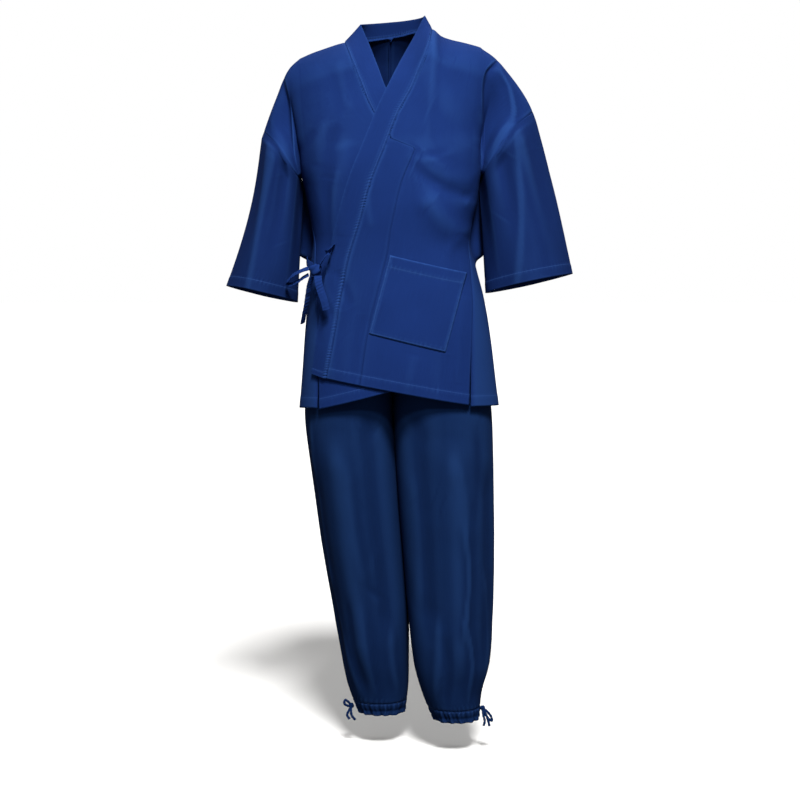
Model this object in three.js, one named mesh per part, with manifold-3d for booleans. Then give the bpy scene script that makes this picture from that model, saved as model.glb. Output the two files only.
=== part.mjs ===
// A samue, the Japanese work wear set of a wrap jacket and tied trousers, in its worn form.
// Millimetres. +Z is up, the front faces -Y, +X is the wearer's left side.
// The origin lies between the shoulders, at the height where the collar crosses them.
import * as THREE from "three";
import Module from "manifold-3d";

// ---- Driving dimensions -------------------------------------------------------------------

const CLOTH = 1.8; // wall of the jacket and trouser cloth
const COLLAR_CLOTH = 3.0; // wall of the collar, which is several layers
const POCKET_CLOTH = 1.6;
const POCKET_LIFT = 1.4; // between the pocket and the front it lies on
const TIE_CLOTH = 2.4;
const SEAM_GAP = 0.3; // between two sewn pieces
const COLLAR_GAP = 0.65; // the collar's share of its gap, as it turns up from the body
const LAP = 5.0; // between the two lapped fronts
const SQUARE = 2.6; // exponent of the jacket's rounded-square sections
const LEG_SQUARE = 2.3; // exponent of the legs' sections

const ARMPIT = -300; // level of the bottom of the armholes
const SLIT_TOP = -600; // level where the side slits begin
const SHOULDER_ROUND = 60; // drop over which the shoulder turns down
const NECK_CENTRE = -20; // middle of the neck, sideways
const NECK_BACK = 58; // how far the neckline reaches behind the shoulder seams
const RIDGE_BACK = 14; // how far the shoulder seams lie behind the origin at the neck
const COLLAR_BACK_TOP = 34; // height of the collar's edge behind the neck
const COLLAR_BACK_LEAN = 6; // how far that edge leans in
const ARMHOLE_DEPTH = 72; // armhole to each side of the shoulder seam
const ARMHOLE_POINTED = 0.6; // how pointed the armhole is at its ends: 1 is most
const LAP_ANGLE = THREE.MathUtils.degToRad(38); // the fronts lie on each other inside this
const CUFF_DEPTH = 84;
const CUFF_POINTED = { shoulder: 0.85, underarm: 0.5 }; // in the same way as the armhole
const CUFF_TILT = 0.12; // the back of a cuff hangs lower than its front
const SLEEVE_TOP = { out: 215, z: -220 }; // the middle of a sleeve where it starts

const WAIST = -440; // top of the trousers
const CASING = 32; // height of the waist casing
const CASING_GAP = 0.7; // the ankle casings' share of their gap, where the legs narrow
const CROTCH = -716;
const SEAT = -596; // level where the front and back seams start to turn under
const TROUSER_CENTRE = -15;
const LEG_PARTING = 1.2; // from each leg to the line between them
const ANKLE = -1384; // top of the ankle casings
const ANKLE_END = -1411;
const CROTCH_ROUND = 40; // height over which the legs part below the crotch

// The jacket body, level by level: centre sideways, half width, depth before and behind.
const BODY = [
  { level: 0, centre: -20, half: 212, front: 60, back: 76 },
  { level: -60, centre: -20, half: 207, front: 84, back: 96 },
  { level: -120, centre: -22, half: 200, front: 104, back: 112 },
  { level: -185, centre: -24, half: 192, front: 119, back: 122 },
  { level: -250, centre: -21, half: 187, front: 128, back: 126 },
  { level: -330, centre: -16, half: 175, front: 130, back: 120 },
  { level: -410, centre: -18, half: 161, front: 124, back: 108 },
  { level: -470, centre: -14, half: 171, front: 122, back: 108 },
  { level: -540, centre: -8, half: 183, front: 124, back: 114 },
  { level: -610, centre: -5, half: 192, front: 127, back: 120 },
  { level: -690, centre: -3, half: 200, front: 131, back: 126 },
  { level: -780, centre: -1, half: 209, front: 135, back: 131 },
];

// The shoulder line on each side, from the middle of the neck out to the dropped seam.
const RIDGE = {
  left: [
    { out: 0, z: 3 },
    { out: 85, z: 16 },
    { out: 104, z: 2 },
    { out: 123, z: -5 },
    { out: 157, z: -13 },
    { out: 192, z: -24 },
    { out: 221, z: -42 },
    { out: 248, z: -79 },
    { out: 292, z: -152 },
  ],
  right: [
    { out: 0, z: 3 },
    { out: 92, z: -11 },
    { out: 135, z: -24 },
    { out: 172, z: -38 },
    { out: 206, z: -58 },
    { out: 222, z: -84 },
    { out: 238, z: -132 },
    { out: 259, z: -192 },
  ],
};

// The armhole seam from the shoulder (0) to the armpit (1): how far out from the neck's middle.
const ARMHOLE = {
  left: [
    { down: 0, out: 292 },
    { down: 0.18, out: 257 },
    { down: 0.42, out: 229 },
    { down: 0.76, out: 196 },
    { down: 1, out: 186 },
  ],
  right: [
    { down: 0, out: 259 },
    { down: 0.18, out: 236 },
    { down: 0.42, out: 216 },
    { down: 0.76, out: 193 },
    { down: 1, out: 176 },
  ],
};

// The valley between the body and the sleeve: how hard the fold at the body's edge turns,
// and where the cloth comes from as it reaches the armhole seam (inwards, and from behind).
const VALLEY = [
  { down: 0, turn: 12, inwards: 24, behind: 0 },
  { down: 0.12, turn: 42, inwards: 34, behind: 14 },
  { down: 0.35, turn: 66, inwards: 60, behind: 44 },
  { down: 0.6, turn: 60, inwards: 48, behind: 60 },
  { down: 0.82, turn: 48, inwards: 20, behind: 26 },
  { down: 1, turn: 40, inwards: 0, behind: -34 },
];
const VALLEY_END = 0.82; // how far down the armhole the valley starts to run out
const FOLD_ANGLE = THREE.MathUtils.degToRad(54); // where the body's front and back faces end

// The cuffs: the sharp outer corner and the inner edge, and how far the sleeve's outer edge
// bows out on the way down.
const CUFF = {
  left: { outerX: 355, outerZ: -482, innerX: 177, innerZ: -521, y: -15, swell: 4 },
  right: { outerX: -357, outerZ: -507, innerX: -211, innerZ: -540, y: -15, swell: -12 },
};

// The side seams below the armpits, as the angle round from the middle of the front.
const SIDE_SEAM = [
  { level: -300, left: 90, right: 90 },
  { level: -350, left: 80, right: 80 },
  { level: -420, left: 68, right: 66 },
  { level: -500, left: 56, right: 58 },
  { level: -600, left: 47, right: 52 },
  { level: -770, left: 39, right: 47 },
];

// How far the cloth stands out under the armpits, behind the front's edge; the angles from the
// middle of the front between which it rises and falls.
const FLARE = [
  { level: -298, left: 0, right: 0 },
  { level: -308, left: 8, right: 10 },
  { level: -322, left: 15, right: 15 },
  { level: -345, left: 24, right: 20 },
  { level: -375, left: 31, right: 28 },
  { level: -405, left: 38, right: 36 },
  { level: -430, left: 40, right: 39 },
  { level: -446, left: 32, right: 37 },
  { level: -458, left: 12, right: 14 },
  { level: -472, left: 0, right: 0 },
];
const FLARE_ANGLES = { from: 88, peak: 116, past: 118, to: 158 };

// The left collar, which laps over, from the shoulder to the hem: its seam, its free edge,
// and how far it stands off the chest.
const COLLAR_LEFT = [
  { z: 16, x: 65, edgeX: 50, edgeZ: 43, edgeY: 17, stand: 1 },
  { z: -23, x: 56, edgeX: 31, edgeZ: 3, edgeY: -16, stand: 1 },
  { z: -69, x: 38, edgeX: 2, edgeZ: -50, edgeY: -58, stand: 0.9 },
  { z: -110, x: 21, edgeX: -19, edgeZ: -91, edgeY: -84, stand: 0.3 },
  { z: -157, x: -5, edgeX: -44, edgeZ: -142, edgeY: -100, stand: 0 },
  { z: -228, x: -33, edgeX: -73, edgeZ: -213, edgeY: -110, stand: 0 },
  { z: -297, x: -60, edgeX: -101, edgeZ: -283, edgeY: -110, stand: 0 },
  { z: -371, x: -80, edgeX: -122, edgeZ: -361, edgeY: -110, stand: 0 },
  { z: -445, x: -103, edgeX: -139, edgeZ: -436, edgeY: -110, stand: 0 },
  { z: -525, x: -119, edgeX: -152, edgeZ: -518, edgeY: -110, stand: 0 },
  { z: -611, x: -133, edgeX: -166, edgeZ: -605, edgeY: -110, stand: 0 },
  { z: -690, x: -148, edgeX: -176, edgeZ: -683, edgeY: -110, stand: 0 },
];

// The right collar, which lies under, in the same way.
const COLLAR_RIGHT = [
  { z: -11, x: -112, edgeX: -80, edgeZ: 25, edgeY: 17, stand: 1 },
  { z: -50, x: -96, edgeX: -62, edgeZ: -19, edgeY: -22, stand: 1 },
  { z: -95, x: -78, edgeX: -43, edgeZ: -67, edgeY: -66, stand: 0.9 },
  { z: -135, x: -62, edgeX: -28, edgeZ: -107, edgeY: -92, stand: 0.2 },
  { z: -180, x: -38, edgeX: -5, edgeZ: -150, edgeY: -100, stand: 0 },
  { z: -240, x: -6, edgeX: 32, edgeZ: -215, edgeY: -110, stand: 0 },
  { z: -310, x: 22, edgeX: 60, edgeZ: -296, edgeY: -110, stand: 0 },
  { z: -400, x: 45, edgeX: 80, edgeZ: -390, edgeY: -110, stand: 0 },
  { z: -500, x: 60, edgeX: 92, edgeZ: -492, edgeY: -110, stand: 0 },
  { z: -600, x: 73, edgeX: 102, edgeZ: -593, edgeY: -110, stand: 0 },
  { z: -700, x: 85, edgeX: 112, edgeZ: -692, edgeY: -110, stand: 0 },
];

// The seams of the narrow front strips, beside the collar.
const STRIP_LEFT = [
  { z: -206, x: -22 },
  { z: -214, x: -2 },
  { z: -221, x: 16 },
  { z: -227, x: 28 },
  { z: -243, x: 24 },
  { z: -298, x: 2 },
  { z: -387, x: -18 },
  { z: -440, x: -26 },
  { z: -591, x: -64 },
  { z: -700, x: -81 },
];
const STRIP_RIGHT = [
  { z: -206, x: -24 },
  { z: -214, x: -44 },
  { z: -221, x: -58 },
  { z: -227, x: -68 },
  { z: -243, x: -64 },
  { z: -310, x: -42 },
  { z: -400, x: -19 },
  { z: -500, x: -4 },
  { z: -600, x: 9 },
  { z: -700, x: 21 },
];

// The hems: height at the middle of the body and slope sideways.
const HEM_FRONT_LEFT = { middle: -716, slope: -0.19 };
const HEM_FRONT_RIGHT = { middle: -708, slope: 0.27 };
const HEM_BACK = { middle: -762, slope: 0.012 };
const HEM_BACK_FRONTWARDS = 0.1; // the back's hem rises towards the front
const HEM_BACK_LEVEL_AT = 40; // how far back it has its own height

// The pocket's corners on the left front.
const POCKET = {
  top: [{ x: -20, z: -439 }, { x: 134, z: -476 }],
  bottom: [{ x: -62, z: -596 }, { x: 91, z: -634 }],
};

// The largest folds: troughs (below 0) and ridges (above 0) on the jacket, from one end to
// the other, seen from the front or the back, with their depth and width.
const BODY_FOLDS = [
  { face: -1, x0: 60, z0: -70, x1: 130, z1: -215, depth: 4, width: 34 },
  { face: -1, x0: 30, z0: -240, x1: 152, z1: -288, depth: 5, width: 24 },
  { face: -1, x0: 40, z0: -262, x1: 160, z1: -322, depth: -7, width: 18 },
  { face: -1, x0: 62, z0: -335, x1: 152, z1: -405, depth: 7, width: 28 },
  { face: -1, x0: -125, z0: -180, x1: -140, z1: -290, depth: -5, width: 20 },
  { face: -1, x0: -108, z0: -200, x1: -118, z1: -400, depth: 4, width: 20 },
  { face: -1, x0: -148, z0: -290, x1: -150, z1: -430, depth: -5, width: 20 },
  { face: 1, x0: -120, z0: -150, x1: -60, z1: -520, depth: -8, width: 34 },
  { face: 1, x0: 90, z0: -170, x1: 50, z1: -560, depth: -8, width: 34 },
  { face: 1, x0: -10, z0: -330, x1: -5, z1: -700, depth: 6, width: 32 },
  { face: 1, x0: 150, z0: -330, x1: 60, z1: -430, depth: 7, width: 28 },
  { face: 1, x0: -175, z0: -330, x1: -80, z1: -440, depth: 7, width: 28 },
];

// Folds along the sleeves: place round the sleeve from shoulder to underarm (0 to 1), depth
// at the armhole and at the cuff, and width in the same measure.
const SLEEVE_FOLD_START = 0.12; // share of the sleeve over which they rise from the armhole
const SLEEVE_FOLDS = [
  { face: -1, round: 0.2, top: 9, bottom: 0, width: 0.09 },
  { face: -1, round: 0.5, top: -12, bottom: 2, width: 0.14 },
  { face: 1, round: 0.26, top: 8, bottom: 2, width: 0.1 },
  { face: 1, round: 0.55, top: -12, bottom: -2, width: 0.14 },
];

// The trousers, level by level: the outer and inner edges of each leg, and the depth before
// and behind each leg's own middle.
const LEG_LEFT = [
  { z: -440, outer: 130, inner: -15, y: 0, front: 94, back: 84 },
  { z: -520, outer: 148, inner: -15, y: 0, front: 100, back: 90 },
  { z: -600, outer: 164, inner: -15, y: 0, front: 104, back: 98 },
  { z: -680, outer: 180, inner: -15, y: 0, front: 108, back: 106 },
  { z: -774, outer: 191, inner: -14, y: -2, front: 106, back: 106 },
  { z: -900, outer: 195, inner: -7, y: -8, front: 103, back: 101 },
  { z: -1041, outer: 197, inner: 5, y: -16, front: 98, back: 92 },
  { z: -1180, outer: 195, inner: 17, y: -24, front: 94, back: 86 },
  { z: -1290, outer: 188, inner: 29, y: -31, front: 84, back: 76 },
  { z: -1354, outer: 172, inner: 46, y: -35, front: 68, back: 62 },
  { z: -1412, outer: 166, inner: 70, y: -36, front: 54, back: 50 },
];
const LEG_RIGHT = [
  { z: -440, outer: -158, inner: -15, y: 0, front: 94, back: 84 },
  { z: -520, outer: -166, inner: -15, y: 0, front: 100, back: 90 },
  { z: -600, outer: -177, inner: -15, y: 0, front: 104, back: 98 },
  { z: -680, outer: -189, inner: -15, y: 0, front: 106, back: 106 },
  { z: -774, outer: -198, inner: -14, y: 2, front: 104, back: 106 },
  { z: -900, outer: -184, inner: -7, y: 7, front: 103, back: 101 },
  { z: -1041, outer: -166, inner: 5, y: 13, front: 98, back: 92 },
  { z: -1180, outer: -143, inner: 17, y: 18, front: 92, back: 86 },
  { z: -1290, outer: -124, inner: 18, y: 21, front: 82, back: 76 },
  { z: -1354, outer: -111, inner: 17, y: 22, front: 68, back: 64 },
  { z: -1412, outer: -90, inner: 10, y: 22, front: 54, back: 50 },
];

// The largest folds of the trousers: angle round the leg from its inner side, by the front,
// where they run, and how deep and wide (in degrees) they are.
const LEG_FOLDS = [
  { leg: "left", angle: 100, z0: -800, z1: -1330, depth: 8, width: 16 },
  { leg: "left", angle: 60, z0: -730, z1: -1250, depth: -7, width: 15 },
  { leg: "left", angle: 145, z0: -850, z1: -1300, depth: -6, width: 15 },
  { leg: "left", angle: 262, z0: -800, z1: -1330, depth: 8, width: 16 },
  { leg: "left", angle: 300, z0: -760, z1: -1240, depth: -7, width: 16 },
  { leg: "right", angle: 108, z0: -790, z1: -1340, depth: 8, width: 16 },
  { leg: "right", angle: 66, z0: -730, z1: -1260, depth: -7, width: 15 },
  { leg: "right", angle: 150, z0: -860, z1: -1310, depth: -6, width: 15 },
  { leg: "right", angle: 258, z0: -800, z1: -1330, depth: 8, width: 16 },
  { leg: "right", angle: 296, z0: -770, z1: -1250, depth: -7, width: 16 },
];
const LEG_FOLD_END = 90; // length over which a fold runs out
const ANKLE_GATHERS = 14; // waves round each ankle casing
const GATHER_DEPTH = 2.4;

const BLUE = 0x1d2c66;
const NAVY = 0x161f48;

// ---- Small helpers ------------------------------------------------------------------------

const { clamp, lerp, degToRad, smoothstep } = THREE.MathUtils;
const BIT = 0.03; // a small angle, to find a direction by
const SAME_PLACE = 20; // points that round to the same 1/20 mm are one
const SHARED_TURN = 0.8; // cosine of the sharpest turn over which two cloths share a corner

/** The smooth value of one column of a table, at a place along its key column. */
function column(table, key, name, at) {
  const last = table.length - 1;
  const way = Math.sign(table[last][key] - table[0][key]);
  let i = 0;
  while (i < last - 1 && way * (at - table[i + 1][key]) > 0) {
    i += 1;
  }
  const slope = (k) => {
    const a = table[Math.max(k - 1, 0)];
    const b = table[Math.min(k + 1, last)];
    return (b[name] - a[name]) / (b[key] - a[key]);
  };
  const span = table[i + 1][key] - table[i][key];
  const t = clamp((at - table[i][key]) / span, 0, 1);
  const rise = table[i + 1][name] - table[i][name];
  const bend = (1 - t) * (slope(i) * span - rise) - t * (slope(i + 1) * span - rise);
  return table[i][name] + rise * t + bend * t * (1 - t);
}

/** Even steps from one number to another, both ends included. */
function steps(from, to, count) {
  return Array.from({ length: count + 1 }, (_, i) => lerp(from, to, i / count));
}

/** Steps from 0 to 1 that are closer together at both ends. */
function easedSteps(count) {
  return steps(0, Math.PI, count).map((a) => (1 - Math.cos(a)) / 2);
}

/** The height of one soft fold that runs from one point to another in a flat view. */
function foldAt(fold, x, z) {
  const alongX = fold.x1 - fold.x0;
  const alongZ = fold.z1 - fold.z0;
  const long = alongX * alongX + alongZ * alongZ;
  const t = clamp(((x - fold.x0) * alongX + (z - fold.z0) * alongZ) / long, 0, 1);
  const off = Math.hypot(x - fold.x0 - t * alongX, z - fold.z0 - t * alongZ);
  return fold.depth * Math.exp(-((off / fold.width) ** 2));
}

// ---- The jacket body's surface ------------------------------------------------------------

// A row of the body runs round it: above the armpits it hangs between the shoulder line and
// the armpit level; below the slits' tops it hangs between them and the hem.
const sideOf = (angle) => (angle < 0 ? "right" : "left");

/** Unit rounded-square section: how far out and how far forward at an angle from the front. */
function roundedSquare(angle) {
  const s = Math.abs(Math.sin(angle));
  const c = Math.abs(Math.cos(angle));
  const reach = (s ** SQUARE + c ** SQUARE) ** (-1 / SQUARE);
  return { out: Math.sin(angle) * reach, forward: Math.cos(angle) * reach };
}

/** The height of a hem at a place sideways and forwards. */
function hemHeight(hem, x, y) {
  const rise = hem === HEM_BACK ? -HEM_BACK_FRONTWARDS * (y - HEM_BACK_LEVEL_AT) : 0;
  return hem.middle + hem.slope * x + rise;
}

/** How far the cloth stands out behind the front's edge, below the armpit. */
function flareAt(face, angle, level) {
  const turned = THREE.MathUtils.radToDeg(Math.abs(angle));
  const round = face < 0 ? turned : 180 - turned;
  const rise = smoothstep(round, FLARE_ANGLES.from, FLARE_ANGLES.peak);
  const fall = 1 - smoothstep(round, FLARE_ANGLES.past, FLARE_ANGLES.to);
  return column(FLARE, "level", sideOf(angle), level) * rise * fall;
}

/** How far the two fronts part at an angle: the left lifts off, the right sinks in. */
function lapLift(hem, angle) {
  const share = clamp((LAP_ANGLE - angle) / (2 * LAP_ANGLE), 0, 1);
  if (hem === HEM_FRONT_LEFT) {
    return LAP * share;
  }
  return hem === HEM_FRONT_RIGHT ? LAP * (share - 1) : 0;
}

/** The shoulder seam or the neckline over one place of a row: how far back and how high. */
function ridgeAt(face, angle, out) {
  const side = sideOf(angle);
  const neck = RIDGE[side][1].out;
  const seam = RIDGE[side][RIDGE[side].length - 1].out;
  const behind = RIDGE_BACK * (1 - (out / seam) ** 2);
  const inside = out < neck && face > 0;
  const arc = inside ? NECK_BACK * (1 - (out / neck) ** 2) : 0;
  return { y: behind + arc, z: column(RIDGE[side], "out", "z", out) };
}

/** A point of the body at an angle from the middle of the front (or of the back). */
function bodyPoint(face, angle, row, hem, lift = 0) {
  const unit = roundedSquare(angle);
  const upper = row.level > ARMPIT;
  const over = ridgeAt(face, angle, Math.abs(unit.out) * BODY[0].half);
  const down = upper ? row.level / ARMPIT : 1;
  let z = over.z * (1 - down) + row.level;
  let at = upper ? row.level : z;
  for (let turn = 0; turn < 3 && row.share > 0; turn += 1) {
    const x = column(BODY, "level", "centre", at) + unit.out * column(BODY, "level", "half", at);
    const y = face * unit.forward * column(BODY, "level", face < 0 ? "front" : "back", at);
    z = lerp(SLIT_TOP, hemHeight(hem, x, y), row.share);
    at = z;
  }
  const half = column(BODY, "level", "half", at);
  const deep = column(BODY, "level", face < 0 ? "front" : "back", at);
  const drop = Math.max(over.z - z, 0);
  const turn = upper ? Math.sqrt(1 - (1 - Math.min(drop / SHOULDER_ROUND, 1)) ** 2) : 1;
  const p = new THREE.Vector3(column(BODY, "level", "centre", at) + unit.out * half, 0, z);
  p.y = lerp(over.y, face * unit.forward * deep, turn);
  const away = new THREE.Vector2(
    Math.sign(unit.out) * Math.abs(unit.out) ** (SQUARE - 1) / half,
    face * Math.sign(unit.forward) * Math.abs(unit.forward) ** (SQUARE - 1) / deep,
  ).normalize();
  let off = lift + lapLift(hem, angle) * turn;
  for (const fold of BODY_FOLDS) {
    off += fold.face === face && unit.forward > 0 ? foldAt(fold, p.x, z) * turn * unit.forward : 0;
  }
  p.x += away.x * off + Math.sign(unit.out) * flareAt(face, angle, at);
  p.y += away.y * off;
  return p;
}

/** The angle at which a row crosses an upright line given as x over z. */
function crossing(line, row, hem) {
  let angle = 0;
  for (let turn = 0; turn < 12; turn += 1) {
    const p = bodyPoint(-1, angle, row, hem);
    const at = row.level > ARMPIT ? row.level : p.z;
    const half = column(BODY, "level", "half", at);
    const x = (column(line, "z", "x", p.z) - column(BODY, "level", "centre", at)) / half;
    const across = clamp(Math.abs(x), 0, 0.999);
    angle = Math.sign(x) * Math.atan2(across, (1 - across ** SQUARE) ** (1 / SQUARE));
  }
  return angle;
}

/** A point between the body's fold (0) and the armhole seam (1), through the valley. */
function valleyPoint(face, side, share, row, hem) {
  const way = side === "left" ? 1 : -1;
  const down = row.level / ARMPIT;
  const from = bodyPoint(face, way * FOLD_ANGLE, row, hem);
  const before = bodyPoint(face, way * (FOLD_ANGLE - BIT), row, hem);
  const ahead = new THREE.Vector2(from.x - before.x, from.y - before.y).normalize();
  const turn = column(VALLEY, "down", "turn", down);
  const ring = new THREE.Vector2(
    NECK_CENTRE + way * column(ARMHOLE[side], "down", "out", down),
    face * ARMHOLE_DEPTH * Math.sin(Math.PI * down) ** ARMHOLE_POINTED,
  );
  const inwards = column(VALLEY, "down", "inwards", down);
  const behind = column(VALLEY, "down", "behind", down);
  const curve = new THREE.CubicBezierCurve(
    new THREE.Vector2(from.x, from.y),
    new THREE.Vector2(from.x, from.y).addScaledVector(ahead, turn),
    new THREE.Vector2(ring.x - way * inwards, ring.y - face * behind),
    ring,
  );
  const flat = curve.getPoint(share);
  const unit = roundedSquare(FOLD_ANGLE);
  const seam = RIDGE[side][RIDGE[side].length - 1].out;
  const over = ridgeAt(face, way, lerp(unit.out * BODY[0].half, seam, share));
  const p = new THREE.Vector3(flat.x, flat.y, over.z * (1 - down) + row.level);
  const round = bodyPoint(face, way * lerp(FOLD_ANGLE, Math.PI / 2, share), row, hem);
  return p.lerp(round, smoothstep(down, VALLEY_END, 1));
}

// ---- Cloth made of points -----------------------------------------------------------------

/** Direction out of a cloth at each of its points, shared along seams by a group of cloths. */
function outwards(cloths) {
  const sums = new Map();
  const key = (p) => [p.x, p.y, p.z].map((v) => Math.round(v * SAME_PLACE)).join();
  const ab = new THREE.Vector3();
  const cd = new THREE.Vector3();
  for (const cloth of cloths) {
    const rows = cloth.rows;
    const tall = rows.length;
    const wide = rows[0].length;
    const own = rows.map((row) => row.map(() => new THREE.Vector3()));
    let facing = 0;
    for (let i = 0; i < tall; i += 1) {
      for (let j = 0; j < wide; j += 1) {
        const right = cloth.round ? rows[i][(j + 1) % wide] : rows[i][Math.min(j + 1, wide - 1)];
        const left = cloth.round ? rows[i][(j + wide - 1) % wide] : rows[i][Math.max(j - 1, 0)];
        ab.subVectors(right, left).normalize();
        cd.subVectors(rows[Math.min(i + 1, tall - 1)][j], rows[Math.max(i - 1, 0)][j]).normalize();
        own[i][j].crossVectors(ab, cd).normalize();
        facing += own[i][j].dot(new THREE.Vector3().subVectors(rows[i][j], cloth.inside(rows[i][j])));
      }
    }
    cloth.flip = facing < 0;
    cloth.normals = own.map((row) => row.map((n) => n.multiplyScalar(cloth.flip ? -1 : 1)));
    rows.forEach((row, i) => row.forEach((p, j) => {
      const sum = sums.get(key(p)) ?? new THREE.Vector3();
      sums.set(key(p), sum.add(cloth.normals[i][j]));
    }));
  }
  for (const cloth of cloths) {
    cloth.normals = cloth.rows.map((row, i) => row.map((p, j) => {
      const shared = sums.get(key(p)).clone().normalize();
      return shared.dot(cloth.normals[i][j]) > SHARED_TURN ? shared : cloth.normals[i][j];
    }));
  }
}

/** The points of a cloth with its free and sewn edges drawn in by half a seam gap. */
function drawnIn(cloth) {
  const { rows, round } = cloth;
  const tall = rows.length;
  const wide = rows[0].length;
  const pull = (p, towards) => {
    const way = new THREE.Vector3().subVectors(towards, p);
    return way.length() > 0 ? way.setLength(cloth.gap ?? SEAM_GAP / 2) : way;
  };
  return rows.map((row, i) => row.map((p, j) => {
    const q = p.clone();
    if (i === 0 || i === tall - 1) {
      q.add(pull(p, rows[i === 0 ? 1 : tall - 2][j]));
    }
    if (!round && (j === 0 || j === wide - 1)) {
      q.add(pull(p, row[j === 0 ? 1 : wide - 2]));
    }
    return q;
  }));
}

/** A closed wall between the cloth moved out and the cloth moved in. */
function wall(cloth, out, inn) {
  const { normals, round, flip } = cloth;
  const rows = drawnIn(cloth);
  const tall = rows.length;
  const wide = rows[0].length;
  const points = [];
  for (const off of [out, -inn]) {
    rows.forEach((row, i) => row.forEach((p, j) => {
      points.push(...p.clone().addScaledVector(normals[i][j], off).toArray());
    }));
  }
  const faces = [];
  const quad = (a, b, c, d) => (flip ? faces.push(a, c, b, a, d, c) : faces.push(a, b, c, a, c, d));
  const id = (layer, i, j) => layer * tall * wide + i * wide + (j % wide);
  const spans = round ? wide : wide - 1;
  for (let i = 0; i < tall - 1; i += 1) {
    for (let j = 0; j < spans; j += 1) {
      quad(id(0, i, j), id(0, i, j + 1), id(0, i + 1, j + 1), id(0, i + 1, j));
      quad(id(1, i, j), id(1, i + 1, j), id(1, i + 1, j + 1), id(1, i, j + 1));
    }
  }
  for (let j = 0; j < spans; j += 1) {
    quad(id(0, 0, j + 1), id(0, 0, j), id(1, 0, j), id(1, 0, j + 1));
    quad(id(0, tall - 1, j), id(0, tall - 1, j + 1), id(1, tall - 1, j + 1), id(1, tall - 1, j));
  }
  for (let i = 0; i < tall - 1 && !round; i += 1) {
    const end = wide - 1;
    quad(id(0, i, 0), id(0, i + 1, 0), id(1, i + 1, 0), id(1, i, 0));
    quad(id(0, i + 1, end), id(0, i, end), id(1, i, end), id(1, i + 1, end));
  }
  const geometry = new THREE.BufferGeometry();
  geometry.setAttribute("position", new THREE.Float32BufferAttribute(points, 3));
  geometry.setIndex(faces);
  geometry.computeVertexNormals();
  return geometry;
}

const garment = new THREE.Group();
garment.name = "samue";

/** Adds one named solid with its own material. */
function addMesh(name, geometry, color) {
  const material = new THREE.MeshStandardMaterial({ color, roughness: 0.85, metalness: 0 });
  const mesh = new THREE.Mesh(geometry, material);
  mesh.name = name;
  garment.add(mesh);
  return mesh;
}

// ---- Jacket rows --------------------------------------------------------------------------

const ROW_COUNTS = { upper: 10, middle: 9, lower: 4, sleeve: 10, pocket: 6, strip: 3 };
const UPPER_ROWS = easedSteps(ROW_COUNTS.upper).slice(0, -1)
  .map((down) => ({ level: ARMPIT * down, share: 0 }));
const MIDDLE_ROWS = steps(ARMPIT, SLIT_TOP, ROW_COUNTS.middle).map((level) => ({ level, share: 0 }));
const LOWER_ROWS = steps(0, 1, ROW_COUNTS.lower).slice(1).map((share) => ({ level: SLIT_TOP, share }));
const ROWS = [...UPPER_ROWS, ...MIDDLE_ROWS, ...LOWER_ROWS];
const NECK_STEPS = 4;
const CHEST_STEPS = 7;
const VALLEY_STEPS = 6;
const SLIT_PARTING = degToRad(0.8); // the slits' edges stand a little apart at the hem
const SLIVER = degToRad(0.6); // width of a strip's pointed top
const SLIT_OUT = 145; // the hem's corners at the slits
const SLIT_FORWARD = 100;
const FOLD_SHARE = 0.6; // the most of a front's width that lies before its edge, low down
const INSIDE_TOP = -90; // height of the place inside the body from which cloth faces out

const neckAngle = (side) => {
  const out = RIDGE[side][1].out / BODY[0].half;
  return Math.atan2(out, (1 - out ** SQUARE) ** (1 / SQUARE));
};

/** The side seam's angle from the middle of the front, at a height. */
function seamAngle(side, row, hem) {
  const corner = hemHeight(hem, side === "left" ? SLIT_OUT : -SLIT_OUT, -SLIT_FORWARD);
  const height = row.share > 0 ? lerp(SLIT_TOP, corner, row.share) : row.level;
  const parting = SLIT_PARTING * row.share * (hem === HEM_BACK ? 1 : -1);
  return degToRad(column(SIDE_SEAM, "level", side, height)) + parting;
}

/** A row's points from an inner angle out to the armhole or the side seam. */
function rowPoints(face, side, inner, row, hem, count) {
  const way = side === "left" ? 1 : -1;
  if (row.level > ARMPIT) {
    const chest = steps(inner, way * FOLD_ANGLE, count).slice(0, -1);
    return [
      ...chest.map((angle) => bodyPoint(face, angle, row, hem)),
      ...steps(0, 1, VALLEY_STEPS).map((s) => valleyPoint(face, side, s, row, hem)),
    ];
  }
  const seam = seamAngle(side, row, hem);
  const outer = face < 0 ? seam : Math.PI - seam;
  const fold = Math.min(FOLD_ANGLE, outer * FOLD_SHARE);
  const angles = [
    ...steps(inner, way * fold, count).slice(0, -1),
    ...steps(way * fold, way * outer, VALLEY_STEPS),
  ];
  return angles.map((angle) => bodyPointRound(face, angle, row, hem));
}

/** A body point whose angle may pass the side and carry on round the other face. */
function bodyPointRound(face, angle, row, hem) {
  const past = Math.abs(angle) > Math.PI / 2;
  const folded = past ? Math.sign(angle) * (Math.PI - Math.abs(angle)) : angle;
  return bodyPoint(past ? -face : face, folded, row, hem);
}

const bodyInside = (p) => new THREE.Vector3(NECK_CENTRE, 0, Math.min(p.z, INSIDE_TOP));

/** One half of the back. */
function backCloth(side) {
  const way = side === "left" ? 1 : -1;
  const neck = way * neckAngle(side);
  const rows = ROWS.map((row) => [
    ...steps(0, neck, NECK_STEPS).slice(0, -1).map((a) => bodyPoint(1, a, row, HEM_BACK)),
    ...rowPoints(1, side, neck, row, HEM_BACK, CHEST_STEPS),
  ]);
  return { rows, inside: bodyInside };
}

/** The row where the narrow strip beside a collar starts. */
function stripStart(collar, strip, hem) {
  const below = (row) => bodyPoint(-1, crossing(collar, row, hem), row, hem).z <= strip[0].z;
  return ROWS.findIndex(below) - 1;
}

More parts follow.
